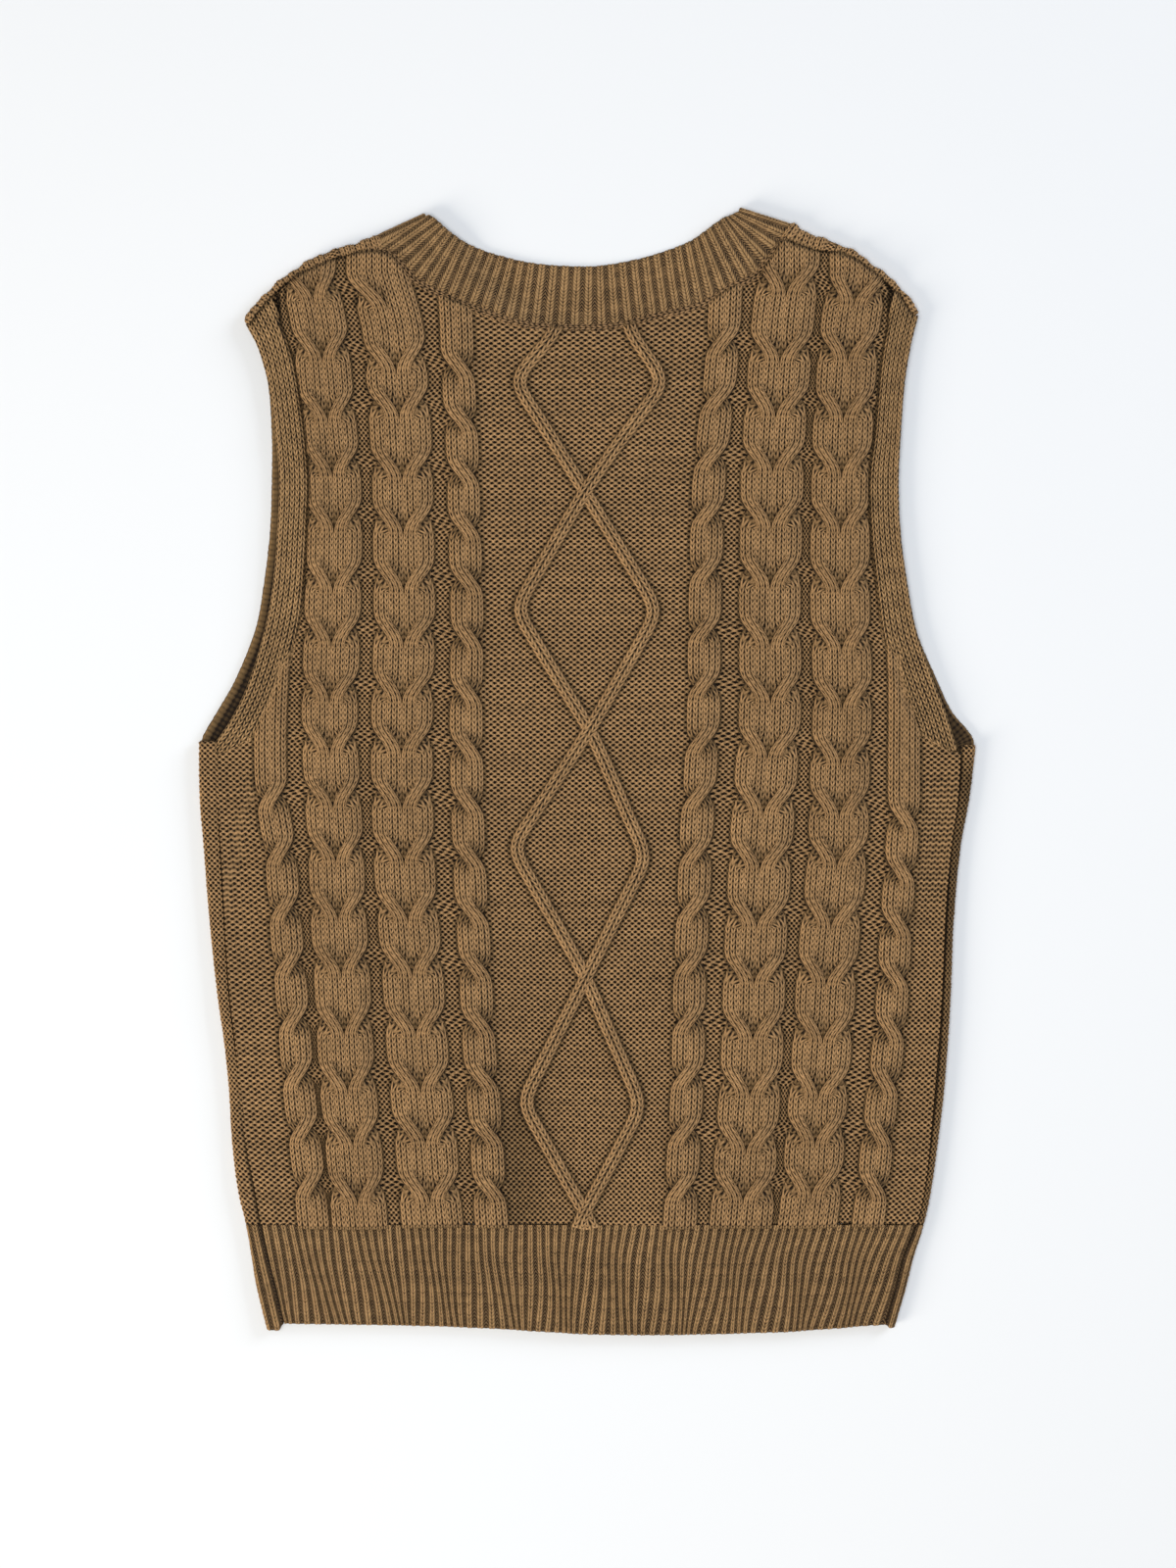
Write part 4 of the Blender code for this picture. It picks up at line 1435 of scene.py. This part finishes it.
# Front panel: its right side faces down. It is knit plain in place of cables, and these columns rest
# on the surface
under = {
    "plan": (("plainPurl", 4), ("plainKnit", 6), ("plainPurl", 2), ("plainKnit", 12), ("plainPurl", 2),
             ("plainKnit", 12), ("plainPurl", 2), ("plainKnit", 6), ("plainPurl", 26),
             ("plainKnit", 6), ("plainPurl", 2), ("plainKnit", 12), ("plainPurl", 2),
             ("plainKnit", 12), ("plainPurl", 2), ("plainKnit", 6), ("plainPurl", 4)),
    "purlWidth": 4.1,
    "knitWidth": 2.75,
    "ground": 1.1,             # how far the purl ground lies above them
}


def frontTop(x):
    # the front's upper edge: shoulder folds and the seam of the neckband
    inset = cloth["foldRadius"] + 3
    line = [(x0, y0 - inset) for rows in (leftShoulder, rightShoulder)
            for x0, y0 in zip(rows["x"], rows["fold"])]
    line += list(zip(neckFront["seamX"][1:-1], neckFront["seamY"][1:-1]))
    line = np.array(sorted(line))
    return np.interp(x, line[:, 0], line[:, 1])


def underPlace(u, v):
    widths = [under["knitWidth" if kind == "plainKnit" else "purlWidth"] for kind, _ in under["plan"]]
    counts = np.array([count for _, count in under["plan"]])
    ends = np.concatenate(([0], np.cumsum(counts)))
    spots = np.concatenate(([0], np.cumsum(counts * np.array(widths))))
    across = np.interp(u, ends, spots) / spots[-1]
    knit = np.zeros(np.shape(u))
    for start, end, (kind, _) in zip(ends, ends[1:], under["plan"]):
        if kind == "plainKnit":
            knit += smooth((u - start) / 1.2) * smooth((end - u) / 1.2)
    y = heightOf(v)
    inset = cloth["foldRadius"] + 1
    start = read(sides, "y", "leftFold", y) + inset
    end = read(sides, "y", "rightFold", y) - inset
    x = start + (end - start) * across
    strip = armholeEdge["wales"] * armholeEdge["waleWidth"] - 2
    armhole = np.minimum(x - read(armholes, "y", "frontLeft", y), read(armholes, "y", "frontRight", y) - x)
    armhole = np.where(y > cloth["underarm"] - 6, armhole - strip, 50)
    top = frontTop(x) - y
    edge = 1 - smooth(np.minimum(armhole, top) / 3)
    z = cloth["lowest"] + under["ground"] * (1 - knit) + 0.6 * edge
    z = np.where((armhole > -1) & (top > -1), z, np.nan)
    return spot(x, y, z), -up, 0.0


underPatch = knitPatch(stitchColumns(*under["plan"]), 0, coursesTo(cloth["panelTop"]), underPlace,
                       perCourse=2, flip=True)
frontUnder = makePiece("frontPanelUnderside", [underPatch], panelKnit)
print("edges, rolls and seams made")


for piece in (middleGround, leftGround, rightGround, leftCables, rightCables, cords):
    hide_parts("back_panel")
for piece in (frontRolls, frontUnder):
    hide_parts("front_panel")
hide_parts("back_hem_rib")
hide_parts("front_hem_rib")


# Stage
world = bpy.data.worlds.new("studio")
bpy.context.scene.world = world
world.use_nodes = True
sky = world.node_tree.nodes["Background"].inputs
sky["Color"].default_value = (0.93, 0.96, 1.0, 1.0)
sky["Strength"].default_value = 0.26

# Square softboxes that face the vest's middle: place and size in metres, and power in watts
softboxes = {
    "overheadSoftbox": {"at": (-0.3, -0.2, 2.2), "size": 1.1, "power": 26, "colour": "#ffffff"},
    "lowSoftboxLeft": {"at": (-2.8, -1.8, 1.3), "size": 1.5, "power": 105, "colour": "#fff4e6"},
    "lowSoftboxRight": {"at": (2.8, 1.6, 1.3), "size": 1.5, "power": 65, "colour": "#eef3ff"},
}
for name, box in softboxes.items():
    light = bpy.data.lights.new(name, "AREA")
    light.shape = "SQUARE"
    light.size = box["size"]
    light.energy = box["power"]
    light.color = linear(box["colour"])[:3]
    lamp = bpy.data.objects.new(name, light)
    lamp.location = box["at"]
    lamp.rotation_euler = (-Vector(box["at"])).to_track_quat("-Z", "Y").to_euler()
    bpy.context.scene.collection.objects.link(lamp)

floorMaterial = bpy.data.materials.new("paintedWhiteTable")
floorMaterial.use_nodes = True
floorSurface = floorMaterial.node_tree.nodes["Principled BSDF"].inputs
floorSurface["Base Color"].default_value = linear("#e9ecee")
floorSurface["Roughness"].default_value = 0.8
floorMesh = bpy.data.meshes.new("floor")
half = 4.0                     # half the floor's width, in metres
corners = [(-half, -half, 0), (half, -half, 0), (half, half, 0), (-half, half, 0)]
floorMesh.from_pydata(corners, [], [(0, 1, 2, 3)])
floorMesh.materials.append(floorMaterial)
floor = bpy.data.objects.new("floor", floorMesh)
bpy.context.scene.collection.objects.link(floor)

# The camera looks straight down, in metres
view = {
    "middle": (0.0003, -0.007),
    "height": 1.806,
    "level": 0.006,            # level of the vest's upper side
    "frame": 0.864,            # length that fills the picture from top to bottom at that level
    "sensor": 36,              # millimetres
}
camera = bpy.data.cameras.new("camera")
camera.sensor_width = view["sensor"]
camera.lens = view["sensor"] * (view["height"] - view["level"]) / view["frame"]
eye = bpy.data.objects.new("camera", camera)
eye.location = (*view["middle"], view["height"])
bpy.context.scene.collection.objects.link(eye)
bpy.context.scene.camera = eye
bpy.context.scene.view_settings.view_transform = "Standard"
